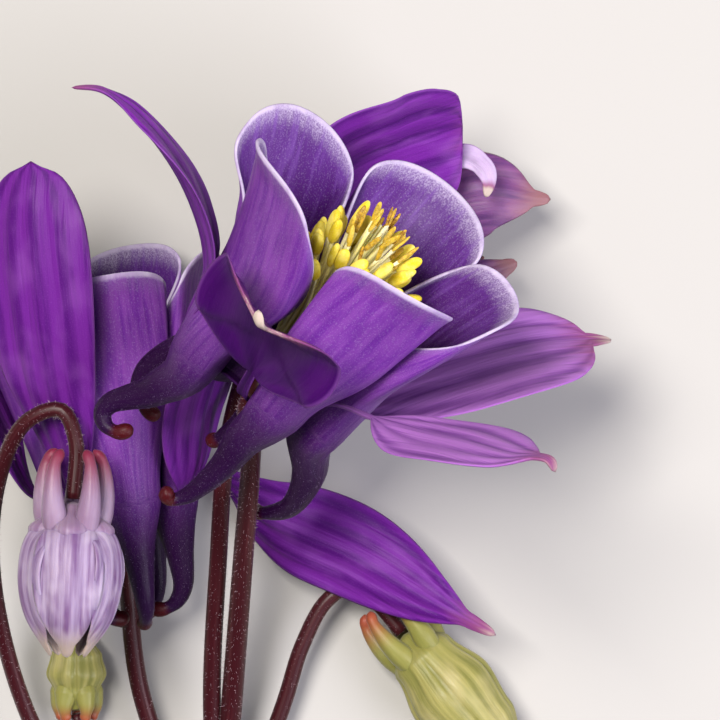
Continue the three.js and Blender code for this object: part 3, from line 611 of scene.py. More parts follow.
# %% One petal
class Petal:
    """One funnel petal. point(q, angle) runs q from 0 to 1 along the spur and 1 to 2 up the blade.

    Angle 0 is the petal's back. `spur` is the line of the spur's middle, given in the plant's frame, or
    left out for a plain hook. `throat` moves the narrow part of the funnel, in the plant's frame too.
    `flat` opens the blade's upper part, `spread` unrolls its sides and `crown` sets how square its top is.
    `uneven` makes one side of it wider than the other, as (height, share) pairs.
    """

    def __init__(self, stand, at_degrees, flare, flare_tip, hook=90, spur=None, throat=(0, 0, 0), twist=0, wave=0,
                 wave_phase=0, blade=BLADE_LENGTH, wide=1, flat=1, spread=0, crown=2.2, uneven=((0, 0), (1, 0))):
        self.stand, self.at_degrees, self.blade, self.wide = stand, at_degrees, blade, wide
        self.twist, self.wave, self.wave_phase, self.flat = twist, wave, wave_phase, flat
        self.spread, self.crown, self.uneven = spread, crown, eased(uneven)
        self.throat = np.array(throat, float)
        self.lean = lambda up: np.radians(flare * smooth(up, -0.12, 0.15) + up ** 2 * (flare_tip - flare))
        self.heights = np.linspace(0, 1, BLADE_STEPS + 1)
        turn = self.lean((self.heights[1:] + self.heights[:-1]) / 2)
        self.back_x, self.back_z = (np.concatenate([[0], np.cumsum(way * blade / BLADE_STEPS)])
                                    for way in (np.sin(turn), np.cos(turn)))
        start = stand.place(THROAT_MIDDLE, at_degrees) + self.throat
        rest = stand.place(hooked_spur(hook), at_degrees) + self.throat if spur is None else spur
        self.line = Line([start, *rest])
        lean = self.lean(0.0)
        self.down = stand.origin - stand.place((np.sin(lean), 0, np.cos(lean)), at_degrees)
        self.ring_places = np.linspace(0, 1, RING_STEPS + 1)
        ways = self.line.tangent(self.ring_places)
        backs = carried_along(stand.place((1, 0, 0), at_degrees) - stand.origin, ways)
        self.rings = [self.line.at(self.ring_places), backs, np.cross(backs, ways)]

    def blade_point(self, up, angle):
        depth = blade_depth(up) * lerp(1, self.flat, smooth(up, 0.15, 0.6))
        angle = angle * (1 - self.spread * smooth(up, 0.05, 0.45))
        width = blade_width(up) * lerp(1, self.wide, up) * (1 + self.uneven(up) * np.sin(angle))
        ripple = self.wave * up ** 2 * np.sin(3 * angle + self.wave_phase)
        curl_out = 0.45 * smooth(up, 0.84, 1.0) ** 2
        roll = math.radians(self.twist) * smooth(up, 0, 1)
        inward = depth * (1 - np.cos(angle)) - ripple - curl_out * np.cos(angle)
        across = width * np.sin(angle)
        back = -inward * np.cos(roll) - across * np.sin(roll)
        turn = self.lean(up)
        x = np.interp(up, self.heights, self.back_x) + THROAT_R + back * np.cos(turn)
        y = across * np.cos(roll) - inward * np.sin(roll)
        z = np.interp(up, self.heights, self.back_z) - back * np.sin(turn)
        spot = self.stand.place(xyz(x, inside_sector(x, y, z), z), self.at_degrees)
        return spot + self.throat * (1 - smooth(up, 0.0, 0.5))[..., None]

    def spur_point(self, s, angle):
        u = 1 - s / SPUR_LENGTH
        centre, back, side = (xyz(*(np.interp(u, self.ring_places, v[:, k]) for k in range(3))) for v in self.rings)
        r = spur_radius(s)[..., None]
        ring = centre + r * (back * np.cos(angle)[..., None] + side * np.sin(angle)[..., None])
        start = self.line.at(0.0)
        throat_ring = self.blade_point(np.zeros_like(angle), angle) - start
        funnel = start + throat_ring * r / SPUR_THROAT_RADIUS + self.down * (SPUR_LENGTH - s)[..., None]
        return lerp(ring, funnel, smooth(s, FUNNEL_FROM, SPUR_LENGTH)[..., None])

    def rim(self, angle):
        return np.maximum(0.05, np.maximum(0, 1 - (np.abs(angle) / math.pi) ** self.crown) ** 0.8)

    def point(self, q, angle):
        return np.where((q < 1)[..., None], self.spur_point(np.minimum(q, 1) * SPUR_LENGTH, angle),
                        self.blade_point(np.maximum(0, q - 1) * self.rim(angle), angle))

    def length(self, q, angle):
        return np.where(q < 1, q * SPUR_LENGTH, SPUR_LENGTH + (q - 1) * self.blade * self.rim(angle))

    def normal(self, q, angle, step=2e-3):
        along = self.point(np.minimum(q + step, 2), angle) - self.point(np.maximum(q - step, 0), angle)
        return unit(np.cross(self.point(q, angle + step) - self.point(q, angle - step), along))

    def add_to(self, skin, sides=84, spur_rows=44, blade_rows=36, wall=PETAL_WALL):
        """Adds the outer and the inner face to a skin, joined over a rounded rim."""
        rows = np.concatenate([np.linspace(0, 1, spur_rows) ** 1.5, 1 + np.linspace(0, 1, blade_rows)[1:] ** 0.9])
        up, angle = np.meshgrid(rows, round_turn(sides) - math.pi, indexing="ij")
        outer = self.point(up, angle)
        down = up[rows * SPUR_LENGTH > HOLLOW_FROM][::-1]
        down_angle = angle[:len(down)]
        inner = self.point(down, down_angle) - self.normal(down, down_angle) * wall
        edge = (outer[-1:] - self.normal(up[-1:], angle[-1:]) * wall / 2
                + unit(outer[-1:] - outer[-2:-1]) * wall * 0.45)
        bottom = inner[-1:].mean(axis=1, keepdims=True) * np.ones((1, sides, 1))
        q_all = np.concatenate([up, up[-1:], down, down[-1:]])
        a_all = np.concatenate([angle, angle[-1:], down_angle, down_angle[-1:]])
        s_all = self.length(q_all, a_all)
        face = np.concatenate([np.zeros(len(up)), [0.5], np.ones(len(down) + 1)])[:, None]
        ring = np.where(s_all < SPUR_LENGTH, spur_radius(s_all), BLADE_HALF_WIDTH * 0.8)
        skin.grid(np.concatenate([outer, edge, inner, bottom]), length=s_all, inner=face,
                  flow=xyz(ring * np.cos(a_all), ring * np.sin(a_all), s_all + PATTERN_SHIFT * self.at_degrees),
                  rim=(2 - q_all) * self.blade * self.rim(a_all),
                  hairy=(1 - smooth(s_all, 6, 15)) * smooth(s_all, 0.9, 2.0) * (1 - face))


print("a plain petal's spur is", round(Petal(main_bloom, 0, flare=10, flare_tip=20).line.length, 1), "mm long")

# %% Five petals of the main bloom
MAIN_PETALS = [
    dict(at_degrees=26, flare=6, flare_tip=12, blade=20.5, wide=1.2, wave=0.25, wave_phase=0.5,
         throat=(0.9, 1.4, 0.2), uneven=[(0.3, 0), (1, 0.24)],
         spur=[(3.4, 57.7, 32.6), (1.8, 56.1, 31.6), (0.1, 53.8, 30.4), (-2.0, 51.8, 29.2), (-3.6, 50.7, 28.4),
               (-4.9, 50.4, 28.3), (-5.3, 50.9, 29.0), (-4.8, 51.3, 29.4)]),
    dict(at_degrees=98, flare=11, flare_tip=20, twist=24, wave=0.35, wave_phase=2, wide=0.82,
         throat=(1.2, -0.4, 0.0),
         spur=[(8.2, 56.1, 27.4), (7.8, 53.9, 25.6), (7.0, 51.3, 23.4), (5.7, 49.5, 21.0), (3.9, 48.9, 18.9),
               (2.4, 49.0, 17.6), (1.9, 49.9, 17.2)]),
    dict(at_degrees=170, flare=14, flare_tip=24, wide=1.16, wave=0.3, wave_phase=1, crown=2.0,
         spur=[(4.2, 60.0, 25.0), (2.6, 58.5, 24.0), (1.0, 57.0, 23.0), (-0.3, 56.1, 22.2), (-1.2, 55.6, 21.6),
               (-1.6, 55.9, 20.9)]),
    dict(at_degrees=242, flare=16, flare_tip=29, twist=-32, wide=1.22, wave=0.3, flat=0.7, spread=0.3, crown=1.8,
         uneven=[(0.1, 0), (0.42, -0.49), (0.58, -0.49), (0.84, -0.17), (1, -0.15)],
         spur=[(-1.0, 64.0, 26.6), (-3.6, 63.9, 25.4), (-6.0, 63.1, 24.2), (-7.5, 61.9, 23.4), (-8.1, 60.2, 22.8),
               (-7.5, 58.6, 23.0), (-6.2, 57.7, 23.6)]),
    dict(at_degrees=314, flare=15, flare_tip=27, blade=24, wave=0.3, wave_phase=3, throat=(-1.7, 2.1, 0.7),
         uneven=[(0, 0), (0.25, -0.22), (0.7, 0)],
         spur=[(-3.4, 61.9, 32.2), (-5.2, 60.9, 31.1), (-6.8, 60.1, 30.2), (-8.9, 59.6, 29.4), (-10.4, 59.1, 28.9),
               (-11.1, 58.2, 28.6), (-10.8, 57.1, 28.7), (-9.7, 56.5, 29.0), (-8.3, 56.8, 29.4)]),
]
main_petals = []
for number, shape in enumerate(MAIN_PETALS, 1):
    skin = Skin(f"funnel_petal_{number}")
    Petal(main_bloom, **shape).add_to(skin)
    main_petals.append(skin.piece(petal_tissue, "petal", f"petal_{number}"))

# %% [markdown]
# ## Sepals of the main bloom
#
# The five sepals stand between the petals on narrow claws. Each is a pointed blade along its own bent
# line, folded a little along the middle, with a hooked tip. The ridges along it are real waves in the
# skin here, because they catch the light.

# %% Sepal shape
RECEPTACLE_R, GAP = 1.4, 0.3
CLAW_LENGTH, CLAW_HALF_WIDTH, SEPAL_TIP_HALF_WIDTH, SEPAL_HALF_WIDTH = 6.4, 0.65, 0.45, 7
CLAW = [(RECEPTACLE_R + GAP, 0, -0.9), (CLAW_LENGTH + 2, 0, 0.3)]
SEPAL_WALL = 0.34
PALE_FROM = 0.86              # where the material starts the pale tip
SEPAL_PATTERN_SHIFT = 41      # mm for each degree round the bloom


def sepal_surface(spine, half_width=SEPAL_HALF_WIDTH, outline=(0.7, 0.9), twist=((0, 0), (1, 0)),
                  fold=((0, 0), (0.3, 12), (1, 14)), foot=CLAW, claw=CLAW_LENGTH, claw_width=CLAW_HALF_WIDTH,
                  end=0.92, tip_width=0.8, uneven=0.0, ridges=9, ridge_height=0.09, edge_wave=0.3, phase=0.0,
                  round_from=0.97):
    """Returns at(u, v) for a sepal, with u along it and v across, its width at u, and its length.

    `end` is where the blade stops and the narrow hooked tip begins, and `round_from` where that is
    rounded off. `fold` turns its two wings up, and `uneven` widens one of them.
    """
    line = Line([*foot, *spine])
    twist_at, fold_at = eased(twist), eased(fold)
    opens, narrows = outline
    widest = opens / (opens + narrows)
    peak = widest ** opens * (1 - widest) ** narrows
    start = claw / line.length

    def width(u):
        t = np.clip((u - start) / (end - start), 0, 1)
        narrow = np.where(u < end, lerp(claw_width, tip_width, t),
                          lerp(tip_width, SEPAL_TIP_HALF_WIDTH, smooth(u, end, 1)))
        blade = np.hypot(half_width * t ** opens * (1 - t) ** narrows / peak, narrow)
        past = np.maximum(0, u - round_from) / (1.0001 - round_from)
        return blade * np.sqrt(np.clip(1 - past ** 2, 0, 1))

    def at(u, v):
        turn, wing = np.radians(twist_at(u))[..., None], np.radians(fold_at(u))
        along = line.tangent(u)
        level = unit(np.array([0.0, 1.0, 0.0]) - along * along[..., 1:2])
        up = np.cross(along, level)
        side = level * np.cos(turn) + up * np.sin(turn)
        face = up * np.cos(turn) - level * np.sin(turn)
        reach = 2 * v - 1
        w = width(u) * (1 + uneven * np.sign(reach) * smooth(np.abs(reach), 0, 0.5))
        raised = np.sin(wing) * (np.sqrt(reach ** 2 + 0.04) - 0.2)
        blade = smooth(u, start, start + 0.15) * (1 - smooth(u, end - 0.12, end))
        ridge = ridge_height * np.cos(math.pi * ridges * v) * blade
        ripple = edge_wave * blade * np.abs(reach) ** 3 * np.sin(13 * u + 2.4 * np.sign(reach) + phase)
        lift = w * raised + ridge + ripple
        return line.at(u) + side * (w * reach * np.cos(wing))[..., None] + face * lift[..., None]
    return at, width, line.length


def add_sepal(skin, stand, at_degrees, tone=0.55, pale_from=PALE_FROM, rows=120, columns=72, ridges=9, **shape):
    """Adds a sepal to a skin, with `pale_from` where its pale tip begins and a value for how pale or dark it is
    painted: partly real bleaching and partly painted light and shade.
    """
    at, width, length = sepal_surface(ridges=ridges, **shape)
    grid, u, v, upper = sheet(at, rows, columns, SEPAL_WALL)
    across = 2 * v - 1
    skin.grid(stand.place(grid, at_degrees), across=across, along=u * PALE_FROM / pale_from, upper=upper, tone=tone,
              ridge=0.5 + 0.5 * np.cos(math.pi * ridges * v) * smooth(u, 0.2, 0.4),
              flow=xyz(across * width(u), 3 * upper, u * length + SEPAL_PATTERN_SHIFT * at_degrees))


print("a straight sepal 25 mm tall has a line of", round(sepal_surface([(9, 0, 5), (9, 0, 25)])[2], 1), "mm")

# %% Five sepals of the main bloom
# The value that sets how pale each sepal is paints light and shade: the first sepal is painted dark, as painted shade,
# the second and third are painted pale, partly real bleaching and partly painted light, and the fourth a little darker,
# as painted shade.
MAIN_SEPALS = [
    dict(at_degrees=-11, tone=0.1, half_width=7.7, foot=[(1.7, 0, -0.9), (5.5, 0, 1.2)], claw=9,
         outline=(0.85, 0.6),
         spine=[(8.3, 0.2, 4.8), (11.6, 0.4, 9.4), (17.0, 0.6, 13.2), (22, 0.9, 15.2), (22.1, 0.3, 16.2)],
         fold=[(0, 0), (0.33, -46), (0.55, -22), (0.75, 18), (1, 26)]),
    dict(at_degrees=62, tone=1, pale_from=0.92, half_width=5.8, foot=[(1.7, 0, -0.9), (4.3, 0, 1.9)], claw=12,
         claw_width=0.35, outline=(0.85, 0.8),
         spine=[(7.1, 0, 4.9), (11, 0, 7), (14.9, 0, 9.4), (18.7, 0, 12), (23.4, 0, 15), (26.6, 0, 17.6),
                (27.6, 0.4, 17.1)],
         twist=[(0, 0), (0.2, 0), (0.45, 17), (1, 14)], fold=[(0, 0), (0.3, -3), (1, -2)], phase=1),
    dict(at_degrees=134, tone=1, pale_from=0.9, half_width=6.2, outline=(0.7, 0.46), tip_width=1.0, uneven=-0.25,
         spine=[(15, 0, 6), (23, 0, 12), (29, 0, 14.8), (31.5, 0, 15.5)], phase=2),
    dict(at_degrees=206, tone=0.4, half_width=9.1, outline=(0.32, 0.27), end=0.995, tip_width=0.8, uneven=-0.1,
         edge_wave=0.08, pale_from=1.05,
         spine=[(14, -0.8, 7.5), (19.0, -2.5, 14.0), (21.1, -6.2, 17.9), (22.3, -8.7, 19.9), (23.4, -10.9, 21.6)],
         twist=[(0, 0), (0.3, 0), (0.6, 30), (1, 30)], phase=3),
    dict(at_degrees=-82, tone=0.55, pale_from=0.97, half_width=5.6,
         spine=[(10.8, 0, 7), (16.3, 0, 12), (22.7, 0, 14.7), (27.2, 0, 15.1), (29.6, 0, 13.7)],
         twist=[(0, 0), (0.25, 0), (0.5, 14), (1, 10)], phase=4),
]
# The fourth sepal's narrow tip curls round behind its blade and shows its pale back.
CURLED_TIP = dict(at_degrees=116, tone=1.42, pale_from=0.8, half_width=0.5, claw=0, claw_width=1.4, end=0.5,
                  tip_width=1.05, round_from=0.85, edge_wave=0, ridges=3, foot=[(11.6, 23.0, 18.4)],
                  spine=[(12.4, 23.2, 18.8), (13.3, 23.4, 19.1), (14.4, 23.1, 19.2),
                         (15.3, 22.5, 19.0), (15.9, 21.9, 18.4), (16.3, 21.3, 17.2)],
                  twist=[(0, 90), (1, 90)], fold=[(0, 0), (1, 0)], rows=50, columns=24)
for number, shape in enumerate(MAIN_SEPALS, 1):
    skin = Skin(f"pointed_sepal_{number}")
    add_sepal(skin, main_bloom, **shape)
    if number == 4:
        add_sepal(skin, main_bloom, **CURLED_TIP)
    skin.piece(sepal_tissue, "sepal", f"sepal_{number}")

# %% [markdown]
# ## Stamens
#
# Many stamens stand in a brush round the middle of the bloom. Each is a pale thread with an anther, a
# yellow pouch with a groove down its middle. Threads and pouches repeat, so Geometry Nodes make them: one
# tree turns lines into round threads, another sets a pouch on each point and turns it the way that its
# thread was growing.

# %% Geometry trees
def geometry_tree(name, **kinds):
    """A new geometry tree with a mesh input, the named inputs, and a geometry output."""
    tree = bpy.data.node_groups.new(name, "GeometryNodeTree")
    for label, kind in {"Mesh": "Geometry", **kinds}.items():
        tree.interface.new_socket(label, in_out="INPUT", socket_type="NodeSocket" + kind)
    tree.interface.new_socket("Result", in_out="OUTPUT", socket_type="NodeSocketGeometry")
    return tree, tree.nodes.new("NodeGroupInput").outputs


def close_tree(tree, result, given):
    """Ends a tree with its instances made real and its material set."""
    real = add(tree, "GeometryNodeRealizeInstances", {"Geometry": result})
    painted = add(tree, "GeometryNodeSetMaterial", {"Geometry": out(real), "Material": given["Material"]})
    tree.links.new(out(painted), tree.nodes.new("NodeGroupOutput").inputs["Result"])
    return tree


def turned_by(tree, rotation, angles):
    """A rotation, turned further by three angles in its own frame."""
    by = out(add(tree, "FunctionNodeEulerToRotation", {"Euler": angles}))
    return out(add(tree, "FunctionNodeRotateRotation", {"Rotation": rotation, "Rotate By": by}, rotation_space="LOCAL"))


def threads_tree():
    tree, given = geometry_tree("round_threads", Thickness="Float", Material="Material")
    line = add(tree, "GeometryNodeMeshToCurve", {"Mesh": given["Mesh"]})
    ring = add(tree, "GeometryNodeCurvePrimitiveCircle", {"Resolution": 7, "Radius": given["Thickness"]})
    thread = add(tree, "GeometryNodeCurveToMesh", {
        "Curve": out(line), "Profile Curve": out(ring), "Fill Caps": True})
    return close_tree(tree, out(add(tree, "GeometryNodeSetShadeSmooth", {"Geometry": out(thread)})), given)


def pouches_tree():
    tree, given = geometry_tree("pouch_on_each_point", Pouch="Object", Material="Material")
    shape = add(tree, "GeometryNodeObjectInfo", {"Object": given["Pouch"]})
    aim, size, spin = (
        out(add(tree, "GeometryNodeInputNamedAttribute", {"Name": label}, data_type=kind))
        for label, kind in (("aim", "FLOAT_VECTOR"), ("size", "FLOAT_VECTOR"), ("spin", "FLOAT")))
    aimed = add(tree, "FunctionNodeAlignRotationToVector", {"Vector": aim}, axis="Z")
    about = out(add(tree, "ShaderNodeCombineXYZ", {"Z": spin}))
    placed = add(tree, "GeometryNodeInstanceOnPoints", {
        "Points": given["Mesh"], "Instance": out(shape, "Geometry"),
        "Rotation": turned_by(tree, out(aimed), about), "Scale": size})
    return close_tree(tree, out(placed), given)


def grown(name, source, tree, **inputs):
    """Runs a tree on a source mesh and returns the result as a plain mesh object."""
    modifier = source.modifiers.new(name, "NODES")
    modifier.node_group = tree
    for socket in tree.interface.items_tree:
        if socket.in_out == "INPUT" and socket.name in inputs:
            modifier[socket.identifier] = inputs[socket.name]
    source.update_tag()
    bpy.context.view_layer.update()
    mesh = bpy.data.meshes.new_from_object(source.evaluated_get(bpy.context.evaluated_depsgraph_get()))
    source.modifiers.remove(modifier)
    mesh.name = name
    return put_in_scene(name, mesh)


round_threads, pouch_on_each_point = threads_tree(), pouches_tree()
print("trees:", round_threads.name, pouch_on_each_point.name)

# %% Stamen materials
def anther_material():
    """Plump yellow anthers that turn brown once they are spent."""
    t = Tissue("anther_yellow", 0.5, ("spent",), scatter=0.3, spread_mm=(0.5, 0.4, 0.1), specular=0.35)
    grains, drift, stains = (t.pattern(2, per_mm) for per_mm in (9, 0.9, 2.6))
    fresh = t.coated("#d4bd24", ("#eedd68", (drift, 0.35, 0.7)))
    brown = t.coated("#7f560f", ("#b58a1c", (stains, 0.42, 0.6)))
    colour = t.coated(fresh, (brown, *t.carried), ("#f6eaa0", (grains, 0.5, 0.75, 0, 0.3)))
    return t.done(colour, (grains, 0.03, 0.6))


def thread_material():
    """Pale, clear threads."""
    t = Tissue("stamen_thread_pale", 0.4, scatter=0.3, spread_mm=(0.5, 0.5, 0.2))
    return t.done(t.coated("#e2d88e", ("#f4edc4", (t.pattern(1, 0.3), 0.35, 0.65))))


def pistil_material():
    """Green pistils, paler to their tips."""
    t = Tissue("pistil_pale_green", 0.45, ("along",), scatter=0.25, spread_mm=(0.4, 0.6, 0.2))
    return t.done(t.coated("#7f9a4c", ("#cfca8e", (t.carried[0], 0.35, 0.8))))


pollen, stamen_thread, pistil_green = anther_material(), thread_material(), pistil_material()

# %% Brush of stamens
GOLDEN_ANGLE = math.pi * (3 - math.sqrt(5))
ANTHER_LENGTH, ANTHER_RADIUS, FILAMENT_RADIUS = 2.6, 0.62, 0.17
SPENT_SHARE, THREAD_POINTS, PISTILS = 0.36, 14, 5


def anther_pouch():
    """One anther with a groove down each face, its foot at the origin."""
    u = ((1 - np.cos(np.linspace(0, math.pi, 13))) / 2)[:, None]
    turn = round_turn(18)
    groove = 1 - 0.16 * np.exp(-((np.abs(np.sin(turn)) - 1) / 0.1) ** 2)
    r = ANTHER_RADIUS * np.sqrt(np.clip(1 - np.abs(2 * u - 1) ** 2.6, 0, 1)) * groove
    return Skin("anther_pouch").grid(xyz(1.06 * r * np.cos(turn), 0.86 * r * np.sin(turn), u * ANTHER_LENGTH)).mesh()


def stamen_brush(name, stand, *replaced, count, reach, spread, seed):
    """Threads from a column at the bloom's middle. The outer anthers are plump, the inner ones spent."""
    rng = np.random.default_rng(seed)
    low, high = reach
    lines, ends, aims, sizes, spins, spents = [], [], [], [], [], []
    for n in range(count):
        share = (n + 0.5) / count
        angle = n * GOLDEN_ANGLE
        away = np.array([math.cos(angle), math.sin(angle), 0])
        aside = np.array([-away[1], away[0], 0])
        far = spread * math.sqrt(share) * rng.uniform(0.88, 1.1)
        height = lerp(high, low, share ** 0.8) + 1.4 * rng.uniform(-0.5, 0.5)
        sway = rng.uniform(-0.5, 0.5)
        line = Line([away * lerp(0.7, 1.5, share) + [0, 0, RECEPTACLE_R + GAP + 0.2],
                     away * lerp(0.8, 2.1, share) + [0, 0, height * 0.4],
                     away * lerp(0.7 * far, 0.62 * far, share) + aside * sway * 0.4 + [0, 0, height * 0.78],
                     away * far + aside * sway + [0, 0, height]])
        lines.append(stand.place(line.at(np.linspace(0, 1, THREAD_POINTS))))
        ends.append(stand.place(line.at(0.985)))
        nod = unit(line.tangent(1.0) + away * rng.uniform(-0.1, 0.6) * share + aside * rng.uniform(-0.35, 0.35))
        aims.append(nod @ stand.ways)
        spent = float(share < SPENT_SHARE)
        length = lerp(rng.uniform(0.98, 1.25), rng.uniform(0.7, 1.0), spent)
        width = lerp(rng.uniform(0.82, 1.05), rng.uniform(0.3, 0.42), spent)
        sizes.append((width, width, length))
        spents.append(spent * rng.uniform(0.6, 1))
        spins.append(rng.uniform(0, 6.28))
    steps = [(n, n + 1) for n in range(count * THREAD_POINTS) if (n + 1) % THREAD_POINTS]
    threads = mesh_object("thread_lines", np.concatenate(lines), steps)
    anthers = mesh_object("anther_points", ends, aim=aims, size=sizes, spin=spins, spent=spents)
    plant_piece(grown(f"{name}_threads", threads, round_threads, Thickness=FILAMENT_RADIUS * MM,
                      Material=stamen_thread), "anther", *replaced)
    plant_piece(grown(f"{name}_anthers", anthers, pouch_on_each_point, Pouch=pouch, Material=pollen),
                "anther", *replaced)
    pistils = Skin(f"{name}_pistils")
    for n in range(PISTILS):
        c, s = math.cos(2 * math.pi * n / PISTILS), math.sin(2 * math.pi * n / PISTILS)
        line = Line([(r * c, r * s, z) for r, z in (
            (0.45, RECEPTACLE_R + GAP - 0.1), (0.75, low * 0.35), (0.4, low * 0.75), (0.8, high - 0.5))])
        radius = straight([(0, 0.35), (0.2, 0.62), (0.42, 0.6), (0.6, 0.22), (1, 0.12)])
        grid, _, length = tube(line, radius, 30, 10)
        pistils.grid(stand.place(grid), along=length / line.length)
    pistils.piece(pistil_green, "anther", *replaced)
    bpy.data.objects.remove(threads)
    bpy.data.objects.remove(anthers)


pouch = anther_pouch()
stamen_brush("main_stamens", main_bloom, "stamens", count=76, reach=(12.6, 20), spread=4.9, seed=5)

# %% [markdown]
# ## The second bloom
#
# The bloom behind and below the main one is made the same way, with its own stamens. In the solids it is
# one body. Here its petals and sepals are two pieces, because each has its own finish.

# %% Second bloom
LEFT_PETALS = [
    dict(at_degrees=12, flare=8, flare_tip=14, hook=90),
    dict(at_degrees=84, flare=8, flare_tip=14, hook=120, wave=0.3),
    dict(at_degrees=156, flare=7, flare_tip=12, hook=100, wave=0.3, wave_phase=1),
    dict(at_degrees=228, flare=9, flare_tip=18, hook=80, wave=0.3, wave_phase=2),
    dict(at_degrees=300, flare=10, flare_tip=20, hook=110, wave=0.3, wave_phase=3),
]
LEFT_SEPALS = [
    dict(at_degrees=336, half_width=5.8, outline=(0.9, 0.4), end=0.99, pale_from=1.1,
         spine=[(10, 0, 6), (12.5, 0.5, 13), (13.8, 1.2, 20), (13.5, 1.6, 28), (12, 2, 33)]),
    dict(at_degrees=48, half_width=4.4, spine=[(10.5, 1, 7), (13, 2.2, 13), (13.5, 3, 18), (13.5, 3.5, 22)],
         phase=1),
    dict(at_degrees=120, tone=0.55, pale_from=0.93, half_width=4.7, outline=(0.8, 0.8),
         spine=[(13, -4.2, -5), (18.5, -10.5, -9.6), (22.6, -15.9, -14.2), (26.7, -20.2, -18.2)],
         twist=[(0, 0), (0.2, 0), (0.5, -65), (1, -65)], phase=2),
    dict(at_degrees=192, half_width=5.5, spine=[(9.6, 1, 6), (9.8, 2, 12), (9, 3, 18), (8, 3.5, 22)], phase=3),
    dict(at_degrees=264, half_width=6, spine=[(11, 0, 7.5), (13, 0.8, 15), (12.6, 1.8, 22), (11, 2.6, 27)],
         phase=4),
]
RECEPTACLE = [(0, -1.6), (1.3, -1.5), (2.6, -0.6), (2.7, 0.4), (1.6, 1.2), (0, 1.3)]


def turned_solid(stand, profile, sides=32, rows=28):
    """A round solid from (radius, height) pairs, as a closed grid."""
    points = Line([(r, 0, z) for r, z in profile]).at(np.linspace(0, 1, rows))
    r, z, turn = np.maximum(points[:, :1], 0), points[:, 2:], round_turn(sides)
    r[0] = r[-1] = 0
    return stand.place(xyz(r * np.cos(turn), r * np.sin(turn), z))


left_petals, left_sepals = Skin("second_bloom_petals"), Skin("second_bloom_sepals")
for shape in LEFT_PETALS:
    Petal(left_bloom, **shape).add_to(left_petals, sides=64, spur_rows=34, blade_rows=28)
for shape in LEFT_SEPALS:
    add_sepal(left_sepals, left_bloom, rows=90, columns=48, **shape)
left_sepals.grid(turned_solid(left_bloom, RECEPTACLE), across=0, along=0.1, upper=0, ridge=0.5, tone=0.4, flow=0)
left_petal_piece = left_petals.piece(petal_tissue, "petal", "left_bloom")
left_sepals.piece(sepal_tissue, "sepal", "left_bloom")
stamen_brush("second_stamens", left_bloom, "left_stamens", count=34, reach=(12, 17), spread=3.3, seed=9)

# %% [markdown]
# ## Buds and the half-open blooms
#
# A closed bud is five sepals shut edge to edge over the petals, with five little spurs round the stalk.
# The half-open blooms have let their sepals go: narrow covers stand round petals that are still rolled
# up. Young tissue has little violet yet. The sap comes in at the spurs and veins first, so buds are
# yellow-green to cream, and their spur tips are pink to dark red.

# %% Bud materials
def bud_material(name, body, shade, flush, spur_tip, base_tint, point):
    """Young tissue, pale and ridged. `along` is 0 at the stalk and 1 at the point, below 0 on the spurs."""
    t = Tissue(name, 0.45, ("flow", "along"), scatter=0.2, spread_mm=(0.8, 0.6, 0.3), sheen=0.08)
    flow, along = t.carried
    streaks = t.pattern(3, (1.6, 1.6, 0.12), flow)
    patches = t.pattern(2, (0.4, 0.4, 0.25), flow, (4, 1, 6))
    colour = t.coated(
        shade,
        (body, (streaks, 0.3, 0.68)),
        (flush, (patches, 0.45, 0.75, 0, 0.55)),
        (base_tint, (along, 0, 0.25, 0.7, 0)),
        (spur_tip, (along, -0.95, -0.2, 1, 0)),
        (point, (t.drifting(along, streaks, 0.1), 0.75, 0.95)))
    return t.done(colour, (streaks, 0.14, 0.7), (t.pattern(1, (6, 6, 4), flow), 0.04, 0.4))


olive_bud = bud_material("young_bud_yellow_green", body="#938d52", shade="#6c6c34", flush="#ada274",
                         spur_tip="#8c3f2c", base_tint="#767536", point="#857c42")
lilac_bud = bud_material("young_bloom_whitish_lilac", body="#95839f", shade="#603e6c", flush="#aea1b4",
                         spur_tip="#701f38", base_tint="#846b82", point="#96867e")
purple_bud = bud_material("half_open_bloom_purple", body="#6f3f76", shade="#50295e", flush="#86587f",
                          spur_tip="#4c1029", base_tint="#6b4a70", point="#7d545a")

# %% Spurs and body of a bud
BUD_SIDES, BUD_FOOT = 90, 1.2
SPUR_SHIFT, COVER_SHIFT = 9, 13   # mm between the patterns of one spur or cover and the next


def bud_spurs(skin, stand, radius, spur):
    """Five spurs in a ring behind a bud, their tips leaning to its stalk."""
    r = radius * 0.56
    lean = min(1, spur * 0.15)
    line = Line([(r * 0.7, 0, radius * 0.62), (r * 0.95, 0, 0.4), (r * 1.1, 0, -spur * 0.35), (r, 0, -spur * 0.8),
                 (r - lean, 0, -spur)])
    thickness = straight([(0, 0.5), (0.2, 1.1), (0.35, 1.15), (0.6, 0.85), (0.84, 0.52), (0.9, 0.56), (0.96, 0.48),
                          (1, 0.1)])
    for n in range(5):
        grid, turn, length = tube(line, thickness, 40, 18)
        share = np.maximum(0, length - radius * 0.62) / (line.length - radius * 0.62)
        skin.grid(stand.place(grid, 72 * n + 36), along=-share,
                  flow=xyz(np.cos(turn), np.sin(turn), length + SPUR_SHIFT * n))


def bud_body(skin, stand, length, radius, rows, top, outline, relief):
    """A round body. relief(z, turn) gives each point's share of the outline and its own turn."""
    z = lerp(-BUD_FOOT, top, np.linspace(0, 1, rows))[:, None]
    turn = round_turn(BUD_SIDES)
    share, at_turn = relief(z, turn)
    r = eased([(-BUD_FOOT, 0), (-1, 1.2), *outline])(z) * share
    r[0] = r[-1] = 0
    skin.grid(stand.place(xyz(r * np.cos(at_turn), r * np.sin(at_turn), z)), along=np.clip(z / length, 0, 1),
              flow=xyz(radius * np.cos(turn), radius * np.sin(turn), z))


print("a bud's body has", BUD_SIDES, "points round")

